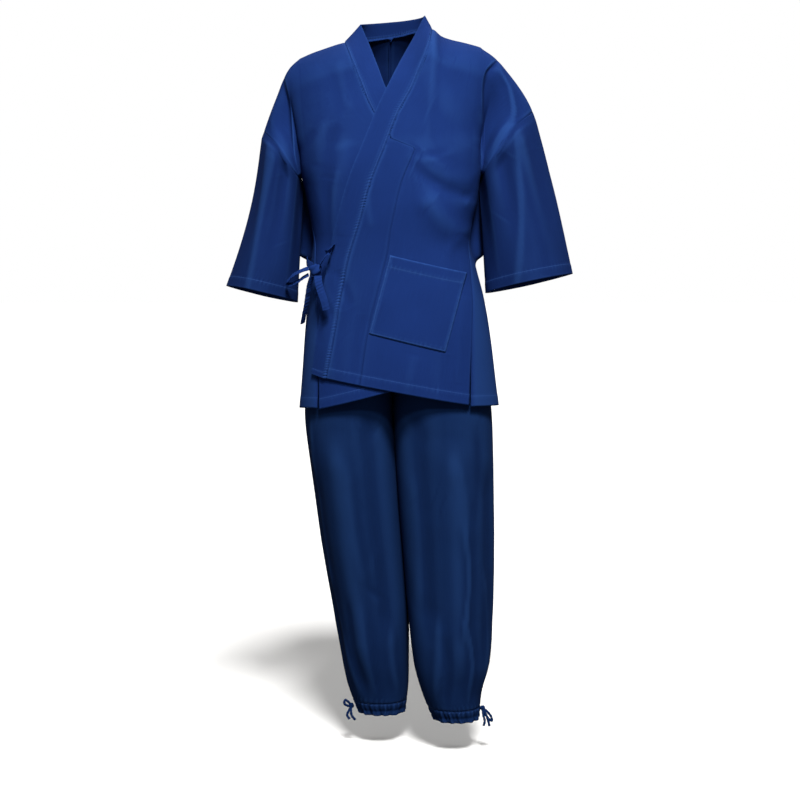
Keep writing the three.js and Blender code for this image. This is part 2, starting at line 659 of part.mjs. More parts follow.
/** The angle where a front panel ends: at the collar, and lower down at the narrow strip. */
function innerAngle(side, collar, strip, row, hem) {
  const place = ROWS.indexOf(row) - stripStart(collar, strip, hem);
  const sliver = place === 0 ? SLIVER * (side === "left" ? 1 : -1) : 0;
  return place > 0 ? crossing(strip, row, hem) : crossing(collar, row, hem) + sliver;
}

/** A front panel, from the armhole and side seam in to the collar and the narrow strip. */
function frontCloth(side, collar, strip, hem) {
  const rows = ROWS.map((row) => {
    const inner = innerAngle(side, collar, strip, row, hem);
    return rowPoints(-1, side, inner, row, hem, CHEST_STEPS);
  });
  return { rows, inside: bodyInside };
}

/** The narrow strip between a front panel and the collar; it starts as a sliver. */
function stripCloth(side, collar, strip, hem) {
  const rows = ROWS.slice(stripStart(collar, strip, hem)).map((row) => {
    const from = crossing(collar, row, hem);
    const to = innerAngle(side, collar, strip, row, hem);
    return steps(from, to, ROW_COUNTS.strip).map((angle) => bodyPoint(-1, angle, row, hem));
  });
  return { rows, inside: bodyInside };
}

/** A point on the jacket's front at a place seen from the front. */
function frontPoint(x, z, hem, lift = 0) {
  const side = x < NECK_CENTRE ? "right" : "left";
  let row = { level: z, share: 0 };
  let angle = 0;
  for (let turn = 0; turn < 8; turn += 1) {
    const centre = column(BODY, "level", "centre", row.level);
    const out = (x - centre) / column(BODY, "level", "half", row.level);
    const across = clamp(Math.abs(out), 0, 0.999);
    angle = Math.sign(out) * Math.atan2(across, (1 - across ** SQUARE) ** (1 / SQUARE));
    const over = column(RIDGE[side], "out", "z", across * BODY[0].half);
    const down = clamp((over - z) / (over - ARMPIT), 0, 1);
    row = { level: z > ARMPIT ? ARMPIT * down : z, share: 0 };
  }
  return bodyPoint(-1, angle, row, hem, lift);
}

/** A collar band: round the back of the neck, over the shoulder and down to the hem. */
function collarCloth(side, collar, hem) {
  const way = side === "left" ? 1 : -1;
  const top = collar[0];
  const across = steps(0, 1, 2);
  const neckRows = steps(0, 1, NECK_STEPS).slice(0, -1).map((share) => {
    const seam = bodyPoint(1, way * neckAngle(side) * share, ROWS[0], HEM_BACK);
    const turn = share * Math.PI / 2;
    const edge = new THREE.Vector3(
      NECK_CENTRE + (top.edgeX - NECK_CENTRE) * Math.sin(turn),
      top.edgeY + (NECK_BACK - COLLAR_BACK_LEAN) * Math.cos(turn),
      lerp(COLLAR_BACK_TOP, top.edgeZ, share),
    );
    return across.map((w) => seam.clone().lerp(edge, w));
  });
  const chestRows = ROWS.map((row) => {
    const angle = crossing(collar, row, hem);
    const seam = bodyPoint(-1, angle, row, hem);
    const pick = (name) => column(collar, "z", name, seam.z);
    const stand = clamp(pick("stand"), 0, 1);
    const edge = new THREE.Vector3(pick("edgeX"), pick("edgeY"), pick("edgeZ"));
    return across.map((w) => {
      const x = lerp(seam.x, edge.x, w);
      const z = lerp(seam.z, edge.z, w);
      const lying = w === 0 ? seam.clone() : frontPoint(x, z, hem);
      return lying.lerp(seam.clone().lerp(edge, w), w === 0 ? 0 : stand);
    });
  });
  return { rows: [...neckRows, ...chestRows], inside: bodyInside, gap: COLLAR_GAP };
}

/** A sleeve from the armhole seam to the cuff. */
function sleeveCloth(side) {
  const way = side === "left" ? 1 : -1;
  const cuff = CUFF[side];
  const upper = [...UPPER_ROWS, MIDDLE_ROWS[0]];
  const ring = (face) => upper.map((row) => {
    const p = row.level > ARMPIT
      ? valleyPoint(face, side, 1, row, HEM_BACK)
      : bodyPoint(face, way * Math.PI / 2, row, HEM_BACK);
    return { p, face, down: row.level / ARMPIT };
  });
  const round = [...ring(-1), ...ring(1).slice(1, -1).reverse()];
  const rows = steps(0, 1, ROW_COUNTS.sleeve).map((share) => round.map(({ p, face, down }) => {
    const pointed = lerp(CUFF_POINTED.shoulder, CUFF_POINTED.underarm, down);
    const y = face * CUFF_DEPTH * (4 * down * (1 - down)) ** pointed;
    const end = new THREE.Vector3(
      lerp(cuff.outerX, cuff.innerX, down),
      cuff.y + y,
      lerp(cuff.outerZ, cuff.innerZ, down) - CUFF_TILT * y,
    );
    const q = p.clone().lerp(end, share);
    const swell = Math.sin(Math.PI * share);
    q.x += way * cuff.swell * swell * (1 - down);
    for (const fold of SLEEVE_FOLDS) {
      const near = fold.face === face ? Math.exp(-(((down - fold.round) / fold.width) ** 2)) : 0;
      const depth = lerp(fold.top * smoothstep(share, 0, SLEEVE_FOLD_START), fold.bottom, share);
      q.y += face * depth * near;
    }
    return q;
  }));
  const inside = (p) => {
    const share = clamp((p.z - SLEEVE_TOP.z) / (cuff.innerZ - SLEEVE_TOP.z), 0, 1);
    return new THREE.Vector3(
      lerp(way * SLEEVE_TOP.out, (cuff.outerX + cuff.innerX) / 2, share),
      lerp(0, cuff.y, share),
      p.z,
    );
  };
  return { rows, round: true, inside };
}

/** The pocket, laid on the left front. */
function pocketCloth() {
  const { top, bottom } = POCKET;
  const places = steps(0, 1, ROW_COUNTS.pocket);
  const rows = places.map((down) => places.map((along) => {
    const x = lerp(lerp(top[0].x, top[1].x, along), lerp(bottom[0].x, bottom[1].x, along), down);
    const z = lerp(lerp(top[0].z, top[1].z, along), lerp(bottom[0].z, bottom[1].z, along), down);
    return frontPoint(x, z, HEM_FRONT_LEFT, POCKET_LIFT);
  }));
  return { rows, inside: bodyInside };
}

// ---- Trousers -----------------------------------------------------------------------------

/** A point of a leg at an angle round it from the inner side, by the front. */
function legPoint(leg, table, angle, z, gather = 0) {
  const way = leg === "left" ? 1 : -1;
  const pick = (name) => column(table, "z", name, z);
  const merge = clamp((SEAT - z) / (SEAT - CROTCH), 0, 1);
  const outer = pick("outer");
  const parted = smoothstep(CROTCH - z, 0, CROTCH_ROUND) * LEG_PARTING;
  const inner = z > CROTCH ? TROUSER_CENTRE : pick("inner") + way * parted;
  const half = Math.abs(outer - inner) / (1 + merge);
  const centre = inner + way * merge * half;
  const front = Math.sin(angle) > 0;
  const s = Math.abs(Math.sin(angle));
  const c = Math.abs(Math.cos(angle));
  const reach = (s ** LEG_SQUARE + c ** LEG_SQUARE) ** (-1 / LEG_SQUARE);
  const deep = pick(front ? "front" : "back");
  let off = gather;
  for (const fold of LEG_FOLDS) {
    const near = Math.exp(-(((angle - degToRad(fold.angle)) / degToRad(fold.width)) ** 2));
    const along = smoothstep(fold.z0 - z, 0, LEG_FOLD_END) * smoothstep(z - fold.z1, 0, LEG_FOLD_END);
    off += fold.leg === leg ? fold.depth * near * along : 0;
  }
  return new THREE.Vector3(
    centre - way * Math.cos(angle) * reach * (half + off),
    pick("y") - Math.sin(angle) * reach * (deep + off),
    z,
  );
}

/** The angle at which a leg's cloth meets the other leg's, over the crotch. */
function meetingAngle(z) {
  const merge = clamp((SEAT - z) / (SEAT - CROTCH), 0, 1);
  return Math.atan2((1 - merge ** LEG_SQUARE) ** (1 / LEG_SQUARE), merge);
}

const LEG_COUNTS = { hip: 3, seat: 8, seatFrom: 5, leg: 15, ankle: 2 };
const LEG_LEVELS = [
  ...steps(WAIST - CASING, SEAT, LEG_COUNTS.hip),
  ...easedSteps(LEG_COUNTS.seat).slice(LEG_COUNTS.seatFrom).map((down) => lerp(SEAT, CROTCH, down)),
  ...steps(CROTCH, ANKLE, LEG_COUNTS.leg).slice(1),
];
const LEG_STEPS = 11;
const ANKLE_STEPS = 66;
const WAIST_STEPS = 22;

/** The front (or back) panel of a leg, from the waist casing to the ankle casing. */
function legCloth(leg, table, face) {
  const rows = LEG_LEVELS.map((z) => {
    const meet = meetingAngle(z);
    const [from, to] = face < 0 ? [meet, Math.PI] : [Math.PI, 2 * Math.PI - meet];
    const angles = steps(from, to, LEG_STEPS);
    return angles.map((angle) => legPoint(leg, table, angle, z));
  });
  return { rows, inside: (p) => legMiddle(table, p.z) };
}

/** The middle of a leg at a height. */
function legMiddle(table, z) {
  const outer = column(table, "z", "outer", z);
  const inner = column(table, "z", "inner", z);
  return new THREE.Vector3((outer + inner) / 2, column(table, "z", "y", z), z);
}

/** The gathered casing round an ankle. */
function ankleCloth(leg, table) {
  const rows = steps(0, 1, LEG_COUNTS.ankle).map((down) => {
    const z = lerp(ANKLE, ANKLE_END, down);
    return steps(0, 2 * Math.PI, ANKLE_STEPS).slice(0, -1).map((angle) => {
      const gather = GATHER_DEPTH * down * Math.cos(angle * ANKLE_GATHERS);
      return legPoint(leg, table, angle, z, gather);
    });
  });
  return { rows, round: true, inside: (p) => legMiddle(table, p.z), gap: CASING_GAP };
}

/** The casing round the waist. */
function waistCloth() {
  const angles = steps(Math.PI / 2, 3 * Math.PI / 2, WAIST_STEPS);
  const back = angles.slice(1, -1).reverse();
  const round = (z) => [
    ...angles.map((angle) => legPoint("left", LEG_LEFT, angle, z)),
    ...back.map((angle) => legPoint("right", LEG_RIGHT, angle, z)),
  ];
  const rows = [WAIST, WAIST - CASING].map(round);
  return { rows, round: true, inside: (p) => new THREE.Vector3(TROUSER_CENTRE, 0, p.z) };
}

// ---- Ties ---------------------------------------------------------------------------------

/** A smooth curve through points. */
function curveThrough(points) {
  const places = points.map((p) => new THREE.Vector3(...p));
  return new THREE.CatmullRomCurve3(places, false, "centripetal");
}

const TAPE_STEP = 9; // length of one step along a tape
const TAPE_STEPS = 6; // the fewest along one
const TAPE_INSIDE = new THREE.Vector3(0, 0, -450); // the side away from which tapes face

/** A flat tape through points, with its width lying along a direction that turns evenly. */
function tapeCloth(points, width, sideways) {
  const curve = curveThrough(points);
  const count = Math.max(TAPE_STEPS, Math.round(curve.getLength() / TAPE_STEP));
  const from = new THREE.Vector3(...sideways[0]);
  const to = new THREE.Vector3(...sideways[1]);
  const rows = steps(0, 1, count).map((t) => {
    const middle = curve.getPointAt(t);
    const ahead = curve.getTangentAt(t);
    const across = from.clone().lerp(to, t);
    across.addScaledVector(ahead, -across.dot(ahead)).setLength(width / 2);
    return [-1, 0, 1].map((k) => middle.clone().addScaledVector(across, k));
  });
  return { rows, inside: () => TAPE_INSIDE };
}

// The jacket's tie at the right side: two straps, a knot, a folded loop and two ends.
const TIE_WIDTH = 16;
const FOLDED_WIDTH = 12.8; // the tape where it is pressed together
const TIES = [
  {
    name: "tie_front",
    points: [[-137, -116, -425], [-146, -118, -436], [-155, -115, -448], [-160, -111, -457]],
    sideways: [[0.6, 0, 0.8], [0.5, 0.3, 0.8]],
    width: TIE_WIDTH,
  },
  {
    name: "tie_side",
    points: [[-189, -40, -452], [-189, -62, -455], [-184, -82, -459], [-177, -94, -463]],
    sideways: [[0, 0, 1], [0.1, 0.1, 1]],
    width: TIE_WIDTH,
  },
  {
    name: "tie_loop",
    points: [
      [-184, -105, -466], [-196, -106, -470], [-213, -101, -479], [-226, -92, -491],
      [-229, -86, -497], [-222, -88, -500], [-208, -96, -494], [-193, -101, -484],
      [-184, -102, -479],
    ],
    sideways: [[0.1, 1, 0.3], [0.1, 1, 0.3]],
    width: FOLDED_WIDTH,
  },
  {
    name: "tie_end_front",
    points: [
      [-165, -113, -481], [-163, -119, -496], [-158, -122, -513], [-152, -125, -531],
      [-148, -126, -549],
    ],
    sideways: [[1, 0.2, 0.1], [1, -0.3, 0.3]],
    width: TIE_WIDTH,
  },
  {
    name: "tie_end_back",
    points: [
      [-180, -96, -484], [-187, -92, -500], [-192, -84, -522], [-197, -76, -545],
      [-203, -66, -566], [-207, -58, -581],
    ],
    sideways: [[0.5, 0.8, 0.1], [0.3, 0.9, 0.2]],
    width: FOLDED_WIDTH,
  },
];
const KNOT = { x: -170, y: -104, z: -469, half: [11, 9, 12] };
const KNOT_TURN = 0.4; // radians
const KNOT_STEPS = { round: 12, down: 8 };

/** A rounded lump: the knot of a tie. */
function knotGeometry({ x, y, z, half }) {
  const lump = new THREE.SphereGeometry(1, KNOT_STEPS.round, KNOT_STEPS.down);
  lump.scale(...half);
  lump.rotateY(KNOT_TURN);
  lump.translate(x, y, z);
  return lump;
}

const ANKLE_CORD = 5; // thickness of the ankle cords
const BOW_KNOT = [6, 5, 6]; // half sizes
// The small bows on the outer sides of the ankles: a knot, a loop and two ends.
const ANKLE_BOWS = {
  right: {
    knot: [-103, 4, -1398],
    loop: [
      [-103, 4, -1398], [-111, 0, -1388], [-116, -1, -1385], [-118, -3, -1392],
      [-110, 0, -1398], [-103, 4, -1399],
    ],
    ends: [
      [[-103, 4, -1398], [-107, 1, -1406], [-112, -2, -1417], [-107, -3, -1426]],
      [[-103, 4, -1398], [-104, -2, -1407], [-102, -5, -1418], [-95, -4, -1427]],
    ],
  },
  left: {
    knot: [173, -52, -1388],
    loop: [
      [173, -52, -1388], [182, -56, -1394], [190, -57, -1404], [192, -57, -1414],
      [184, -57, -1408], [174, -53, -1392],
    ],
    ends: [
      [[173, -52, -1388], [179, -58, -1398], [184, -61, -1412], [187, -62, -1424]],
      [[173, -52, -1388], [174, -60, -1400], [177, -62, -1413], [175, -62, -1423]],
    ],
  },
};

/** A round cord along points. */
function cordGeometry(points) {
  const ring = new THREE.Shape().absarc(0, 0, ANKLE_CORD / 2, 0, 2 * Math.PI);
  return new THREE.ExtrudeGeometry(ring, {
    steps: points.length * 2,
    curveSegments: 3,
    bevelEnabled: false,
    extrudePath: curveThrough(points),
  });
}

// ---- Joining solids -----------------------------------------------------------------------

const manifold = await Module();
manifold.setup();

/** A manifold solid from a geometry, with its corners merged. */
function toManifold(geometry) {
  const { position } = geometry.attributes;
  const seen = new Map();
  const corners = [];
  const ids = Array.from({ length: position.count }, (_, i) => {
    const p = new THREE.Vector3().fromBufferAttribute(position, i);
    const key = p.toArray().map((v) => v.toFixed(4)).join();
    if (!seen.has(key)) {
      seen.set(key, seen.size);
      corners.push(...p.toArray());
    }
    return seen.get(key);
  });
  const index = geometry.index ? Array.from(geometry.index.array, (i) => ids[i]) : ids;
  const faces = [];
  for (let i = 0; i < index.length; i += 3) {
    const [a, b, c] = index.slice(i, i + 3);
    if (a !== b && b !== c && c !== a) {
      faces.push(a, b, c);
    }
  }
  const mesh = new manifold.Mesh({
    numProp: 3,
    vertProperties: new Float32Array(corners),
    triVerts: new Uint32Array(faces),
  });
  return new manifold.Manifold(mesh);
}

/** Several geometries joined into one. */
function joined(geometries) {
  const solid = geometries.map(toManifold).reduce((a, b) => a.add(b));
  const mesh = solid.getMesh();
  const geometry = new THREE.BufferGeometry();
  geometry.setAttribute("position", new THREE.Float32BufferAttribute(mesh.vertProperties, 3));
  geometry.setIndex(Array.from(mesh.triVerts));
  geometry.computeVertexNormals();
  return geometry;
}

// ---- The garment --------------------------------------------------------------------------

/** Adds a group of cloths that are sewn to each other, as walls. */
function addSewn(pieces, color) {
  outwards(pieces.map((piece) => piece.cloth));
  for (const { name, cloth, out, inn } of pieces) {
    addMesh(name, wall(cloth, out, inn), color);
  }
}

const FRONTS = [
  { side: "left", collar: COLLAR_LEFT, strip: STRIP_LEFT, hem: HEM_FRONT_LEFT },
  { side: "right", collar: COLLAR_RIGHT, strip: STRIP_RIGHT, hem: HEM_FRONT_RIGHT },
];
const COLLAR_OUT = COLLAR_CLOTH - CLOTH;
addSewn([
  { name: "back_left", cloth: backCloth("left"), out: 0, inn: CLOTH },
  { name: "back_right", cloth: backCloth("right"), out: 0, inn: CLOTH },
  ...FRONTS.flatMap(({ side, collar, strip, hem }) => [
    { name: `front_${side}`, cloth: frontCloth(side, collar, strip, hem), out: 0, inn: CLOTH },
    { name: `strip_${side}`, cloth: stripCloth(side, collar, strip, hem), out: 0, inn: CLOTH },
    { name: `collar_${side}`, cloth: collarCloth(side, collar, hem), out: COLLAR_OUT, inn: CLOTH },
  ]),
  { name: "sleeve_left", cloth: sleeveCloth("left"), out: 0, inn: CLOTH },
  { name: "sleeve_right", cloth: sleeveCloth("right"), out: 0, inn: CLOTH },
], BLUE);
addSewn([{ name: "pocket", cloth: pocketCloth(), out: POCKET_CLOTH, inn: 0 }], BLUE);

for (const { name, points, sideways, width } of TIES) {
  const cloth = tapeCloth(points, width, sideways);
  addSewn([{ name, cloth, out: TIE_CLOTH / 2, inn: TIE_CLOTH / 2 }], BLUE);
}
addMesh("tie_knot", joined([knotGeometry(KNOT)]), BLUE);

for (const [leg, table] of [["left", LEG_LEFT], ["right", LEG_RIGHT]]) {
  addSewn([
    { name: `leg_front_${leg}`, cloth: legCloth(leg, table, -1), out: 0, inn: CLOTH },
    { name: `leg_back_${leg}`, cloth: legCloth(leg, table, 1), out: 0, inn: CLOTH },
    { name: `ankle_casing_${leg}`, cloth: ankleCloth(leg, table), out: 0, inn: CLOTH },
  ], NAVY);
  const bow = ANKLE_BOWS[leg];
  const [x, y, z] = bow.knot;
  const cords = [bow.loop, ...bow.ends].map(cordGeometry);
  addMesh(`ankle_bow_${leg}`, joined([knotGeometry({ x, y, z, half: BOW_KNOT }), ...cords]), NAVY);
}
addSewn([{ name: "waist_casing", cloth: waistCloth(), out: 0, inn: CLOTH }], NAVY);

export default garment;
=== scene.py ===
"""A samue, the Japanese work wear set of a wrap jacket and tied trousers, in its worn form."""

from functools import partial

import bmesh
import bpy
import numpy as np
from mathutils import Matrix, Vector


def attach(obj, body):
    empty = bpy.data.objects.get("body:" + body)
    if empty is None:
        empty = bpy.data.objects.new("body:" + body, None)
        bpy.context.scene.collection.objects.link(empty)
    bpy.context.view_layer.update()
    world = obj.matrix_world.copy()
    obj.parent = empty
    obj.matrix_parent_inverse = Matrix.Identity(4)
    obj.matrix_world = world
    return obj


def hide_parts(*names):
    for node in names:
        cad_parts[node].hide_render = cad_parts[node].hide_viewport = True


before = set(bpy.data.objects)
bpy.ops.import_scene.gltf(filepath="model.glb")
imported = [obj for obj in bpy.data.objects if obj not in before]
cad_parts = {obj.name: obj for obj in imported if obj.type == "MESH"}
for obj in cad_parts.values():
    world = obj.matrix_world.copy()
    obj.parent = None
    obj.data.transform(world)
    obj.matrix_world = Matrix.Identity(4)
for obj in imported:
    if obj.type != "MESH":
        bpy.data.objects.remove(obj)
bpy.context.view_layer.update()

bl_info = {
    "name": "Samue",
    "version": (1, 0, 0),
    "blender": (4, 5, 0),
    "location": "View3D > Sidebar > Samue",
    "description": "Builds a worn samue of indigo cotton twill: jacket, trousers, ties and cords",
    "category": "Object",
}

MM = 0.001

# ---- Sizes, in millimetres. +Z is up, the front faces -Y, +X is the wearer's left side -------

SQUARE = 2.6  # exponent of the jacket's rounded-square sections
LEG_SQUARE = 2.3  # exponent of the legs' sections
LAP = 5.0  # between the two lapped fronts
LAP_ANGLE = np.radians(38)  # to each side of the middle, where one front passes the other
ARMPIT = -300.0
SLIT_TOP = -600.0  # where the side seams open into slits
SLIT_OUT, SLIT_FORWARD = 145.0, 100.0  # a slit's lower corner, which sets how far it runs
SLIT_PARTING = np.radians(0.8)  # how far a slit's edges part on each side, at the hem
SHOULDER_ROUND = 60.0  # the height over which the shoulders round off
NECK_CENTRE = -20.0  # sideways, as the wearer's neck stands off the middle
NECK_BACK = 58.0  # the neckline's curve behind the shoulder seams
RIDGE_BACK = 14.0  # how far back the shoulder seams bow
HEM_CENTRE = 40.0  # the place from front to back where a hem has its middle height
ARMHOLE_DEPTH, ARMHOLE_ROUND = 72.0, 0.6  # half its depth, and how bluntly it rounds
FOLD_ANGLE = np.radians(54)  # where the chest turns towards the arm
FOLD_STEP = 0.03  # the step in angle that gives the cloth's direction there
SIDE_SHARE = 0.6  # where the same line runs below the armpit, from the middle to the side seam
SLIVER = np.radians(0.6)  # the strip's width in the row where it starts
COLLAR_OUT = 1.2  # the collar's outer face, proud of the body's
BAND_IN, BAND_TOP = 6.0, 34.0  # the band's free edge behind the neck: in from its seam, and up
CUFF_DEPTH = 84.0  # half of it, from front to back
CUFF_TILT = 0.12  # how much a cuff's back edge drops for each step back
CUFF_ROUND = (0.85, 0.5)  # how pointed the cuff is at its outer edge and blunt at its inner
SLEEVE_MIDDLE = {"left": (205, -220), "right": (-225, -220)}  # inside the top of each sleeve
POCKET_OUT = 1.5  # off the front that it is sewn on
WAIST, CASING = -440.0, 32.0  # the waist's top, and its casing's height
SEAT, CROTCH = -596.0, -716.0  # where the legs begin to part, and where they have
TROUSER_CENTRE = -15.0
LEG_PARTING, PARTING_DOWN = -0.9, 40.0  # the legs press on each other, from this far down
LEG_FADE = 90.0  # the height over which a fold of the legs runs out
CREASE_FADE = 30.0  # how far past its ends a crease of the legs runs out
CREASE_BOW = 4.0  # how far such a crease bows, in degrees round the leg
ANKLE, ANKLE_END = -1384.0, -1411.0  # the ankle casings' top and bottom
ANKLE_TUCKS, WAIST_TUCKS = 14, 46  # gathers round an ankle, and round each half of the waist
FLOOR = -1478.0

# Repeats that close in on where a row crosses a line, on a place seen flat, and on a hem.
CROSSING_STEPS, PLACE_STEPS, HEM_STEPS = 12, 8, 3

FRONT, BACK = -1, 1  # the faces of the jacket and the legs
WAY = {"left": 1, "right": -1}  # sideways from the middle

# Rows and columns of the cloths' grids.
CHEST_ROWS, WAIST_ROWS, SKIRT_ROWS = 84, 88, 44  # jacket: to the armpit, the slits, the hem
NECK_COLUMNS = 17  # back, from its middle to the side of the neck
BACK_COLUMNS, FRONT_COLUMNS = (26, 38), (40, 54)  # over the chest, and on to the armhole
STRIP_COLUMNS = 16
NECK_ROWS, COLLAR_COLUMNS, COLLAR_TIMES = 34, 14, 3
SLEEVE_ROWS, SLEEVE_HALF = 132, 66  # half: from the shoulder line to the underarm
POCKET_ROWS, POCKET_COLUMNS = 60, 58
SEAT_ROWS, FORK_ROWS, LEG_ROWS, LEG_COLUMNS = 24, 30, 152, 58
ANKLE_ROWS, ANKLE_COLUMNS = 26, 300
WAIST_CASING_ROWS, WAIST_HALF = 14, 200
TAPE_ROWS, TAPE_COLUMNS = 90, 28
CORD_ROWS, CORD_ROWS_A_POINT, CORD_COLUMNS = 24, 10, 16
KNOT_ROWS, KNOT_COLUMNS = 46, 64


def table(names, *rows):
    """A table's columns by name, as arrays."""
    return dict(zip(names.split(), np.array(rows, float).T))


# The jacket's body at each level: its middle and half width sideways, and how deep it is
# before and behind.
BODY = table(
    "level centre half front back",
    (0, -20, 212, 60, 76), (-60, -20, 207, 84, 96), (-120, -22, 200, 104, 112),
    (-185, -24, 192, 119, 122), (-250, -21, 187, 128, 126), (-330, -16, 175, 130, 120),
    (-410, -18, 161, 124, 108), (-470, -14, 171, 122, 108), (-540, -8, 183, 124, 114),
    (-610, -5, 192, 127, 120), (-690, -3, 200, 131, 126), (-780, -1, 209, 135, 131),
)
# The shoulder seams' height, from the neck out to the armhole.
RIDGE = {
    "left": table(
        "out z", (0, 3), (85, 16), (104, 2), (123, -5), (157, -13), (192, -24), (221, -42),
        (248, -79), (292, -152),
    ),
    "right": table(
        "out z", (0, 3), (92, -11), (135, -24), (172, -38), (206, -58), (222, -84),
        (238, -132), (259, -192),
    ),
}
# How far out the armhole's seam lies, at each share of the way down to the armpit.
ARMHOLE = {
    "left": table("down out", (0, 292), (0.18, 257), (0.42, 229), (0.76, 196), (1, 186)),
    "right": table("down out", (0, 259), (0.18, 236), (0.42, 216), (0.76, 193), (1, 176)),
}
# The curve from the chest to the armhole, at each share of the way down: how far it runs on
# before it turns, and how far inwards and behind the seam it comes back from.
VALLEY = table(
    "down turn inwards behind",
    (0, 12, 24, 0), (0.12, 42, 34, 14), (0.35, 66, 60, 44), (0.6, 60, 48, 60),
    (0.82, 48, 20, 26), (1, 40, 0, -34),
)
# Each cuff's outer and inner corner, sideways and up, its place from front to back, and how
# far the sleeve's outer edge swells.
CUFF = {
    "left": dict(outer=(355, -482), inner=(177, -521), y=-15, swell=4),
    "right": dict(outer=(-357, -507), inner=(-211, -540), y=-15, swell=-12),
}
# The side seams' angles round from the middle of the front, in degrees.
SIDE_SEAM = table(
    "level left right",
    (-300, 90, 90), (-350, 80, 80), (-420, 68, 66), (-500, 56, 58), (-600, 47, 52),
    (-770, 39, 47),
)
# How far the cloth stands out beside the body below the armpits.
FLARE = table(
    "level left right",
    (-292, 0, 0), (-300, 5, 8), (-307, 9, 12), (-322, 15, 15), (-345, 24, 20),
    (-375, 31, 28), (-405, 38, 36), (-430, 40, 39), (-446, 32, 37), (-458, 12, 14),
    (-472, 0, 0),
)
FLARE_BEGINS, FLARE_ENDS = (88, 116), (118, 158)  # degrees round from the front
# The collar bands: where the seam runs seen from the front, where the free edge is, and how
# much the band stands up from the seam (1) or lies on the body (0).
COLLAR = {
    "left": table(
        "z x edge_x edge_z edge_y stand",
        (16, 65, 50, 43, 17, 1), (-23, 56, 31, 3, -16, 1), (-69, 38, 2, -50, -58, 0.9),
        (-110, 21, -19, -91, -84, 0.3), (-157, -5, -44, -142, -100, 0),
        (-228, -33, -73, -213, -110, 0), (-297, -60, -101, -283, -110, 0),
        (-371, -80, -122, -361, -110, 0), (-445, -103, -139, -436, -110, 0),
        (-525, -119, -152, -518, -110, 0), (-611, -133, -166, -605, -110, 0),
        (-690, -148, -176, -683, -110, 0),
    ),
    "right": table(
        "z x edge_x edge_z edge_y stand",
        (-11, -112, -80, 25, 17, 1), (-50, -96, -62, -19, -22, 1),
        (-95, -78, -43, -67, -66, 0.9), (-135, -62, -28, -107, -92, 0.2),
        (-180, -38, -5, -150, -100, 0), (-240, -6, 32, -215, -110, 0),
        (-310, 22, 60, -296, -110, 0), (-400, 45, 80, -390, -110, 0),
        (-500, 60, 92, -492, -110, 0), (-600, 73, 102, -593, -110, 0),
        (-700, 85, 112, -692, -110, 0),
    ),
}
# Where the narrow strips end beside the front panels, seen from the front.
STRIP = {
    "left": table(
        "z x", (-206, -22), (-214, -2), (-221, 16), (-227, 28), (-243, 24), (-298, 2),
        (-387, -18), (-440, -26), (-591, -64), (-700, -81),
    ),
    "right": table(
        "z x", (-206, -24), (-214, -44), (-221, -58), (-227, -68), (-243, -64), (-310, -42),
        (-400, -19), (-500, -4), (-600, 9), (-700, 21),
    ),
}
# Each hem's height in the middle, its slope sideways, and its fall from back to front.
HEM = {
    "left": dict(middle=-716, slope=-0.19, forwards=0.0),
    "right": dict(middle=-708, slope=0.27, forwards=0.0),
    "back": dict(middle=-762, slope=0.012, forwards=0.1),
}
# The pocket's corners, sideways and up.
POCKET_TOP = ((-20, -439), (134, -476))
POCKET_BOTTOM = ((-62, -596), (91, -634))

# Folds and creases of the jacket, seen from the front (-1) or the back (1): from one end to
# the other, how far the line bows, height (troughs below 0), width, and sharpness from a
# soft roll (0) to a pinched crease (1).
BODY_FOLDS = table(
    "face x0 z0 x1 z1 bow depth width sharp",
    (-1, 60, -70, 130, -215, 0, 4, 34, 0),
    (-1, 30, -240, 152, -288, 15, 3.2, 22, 0.1),
    (-1, 31, -258, 160, -320, 17, -5.0, 15, 0.4),
    (-1, 62, -335, 152, -405, 15, 7.0, 25, 0),
    (-1, -125, -180, -140, -290, 7, -2.6, 16, 0.3),
    (-1, -108, -215, -118, -400, 6, 2.2, 19, 0.1),
    (-1, -148, -278, -150, -430, -4, -2.6, 16, 0.1),
    (1, -120, -150, -60, -520, 0, -8, 34, 0),
    (1, 90, -170, 50, -560, 0, -8, 34, 0),
    (1, -10, -330, -5, -700, 0, 6, 32, 0),
    (1, 150, -330, 60, -430, 0, 7, 28, 0),
    (1, -175, -330, -80, -440, 0, 7, 28, 0),
)
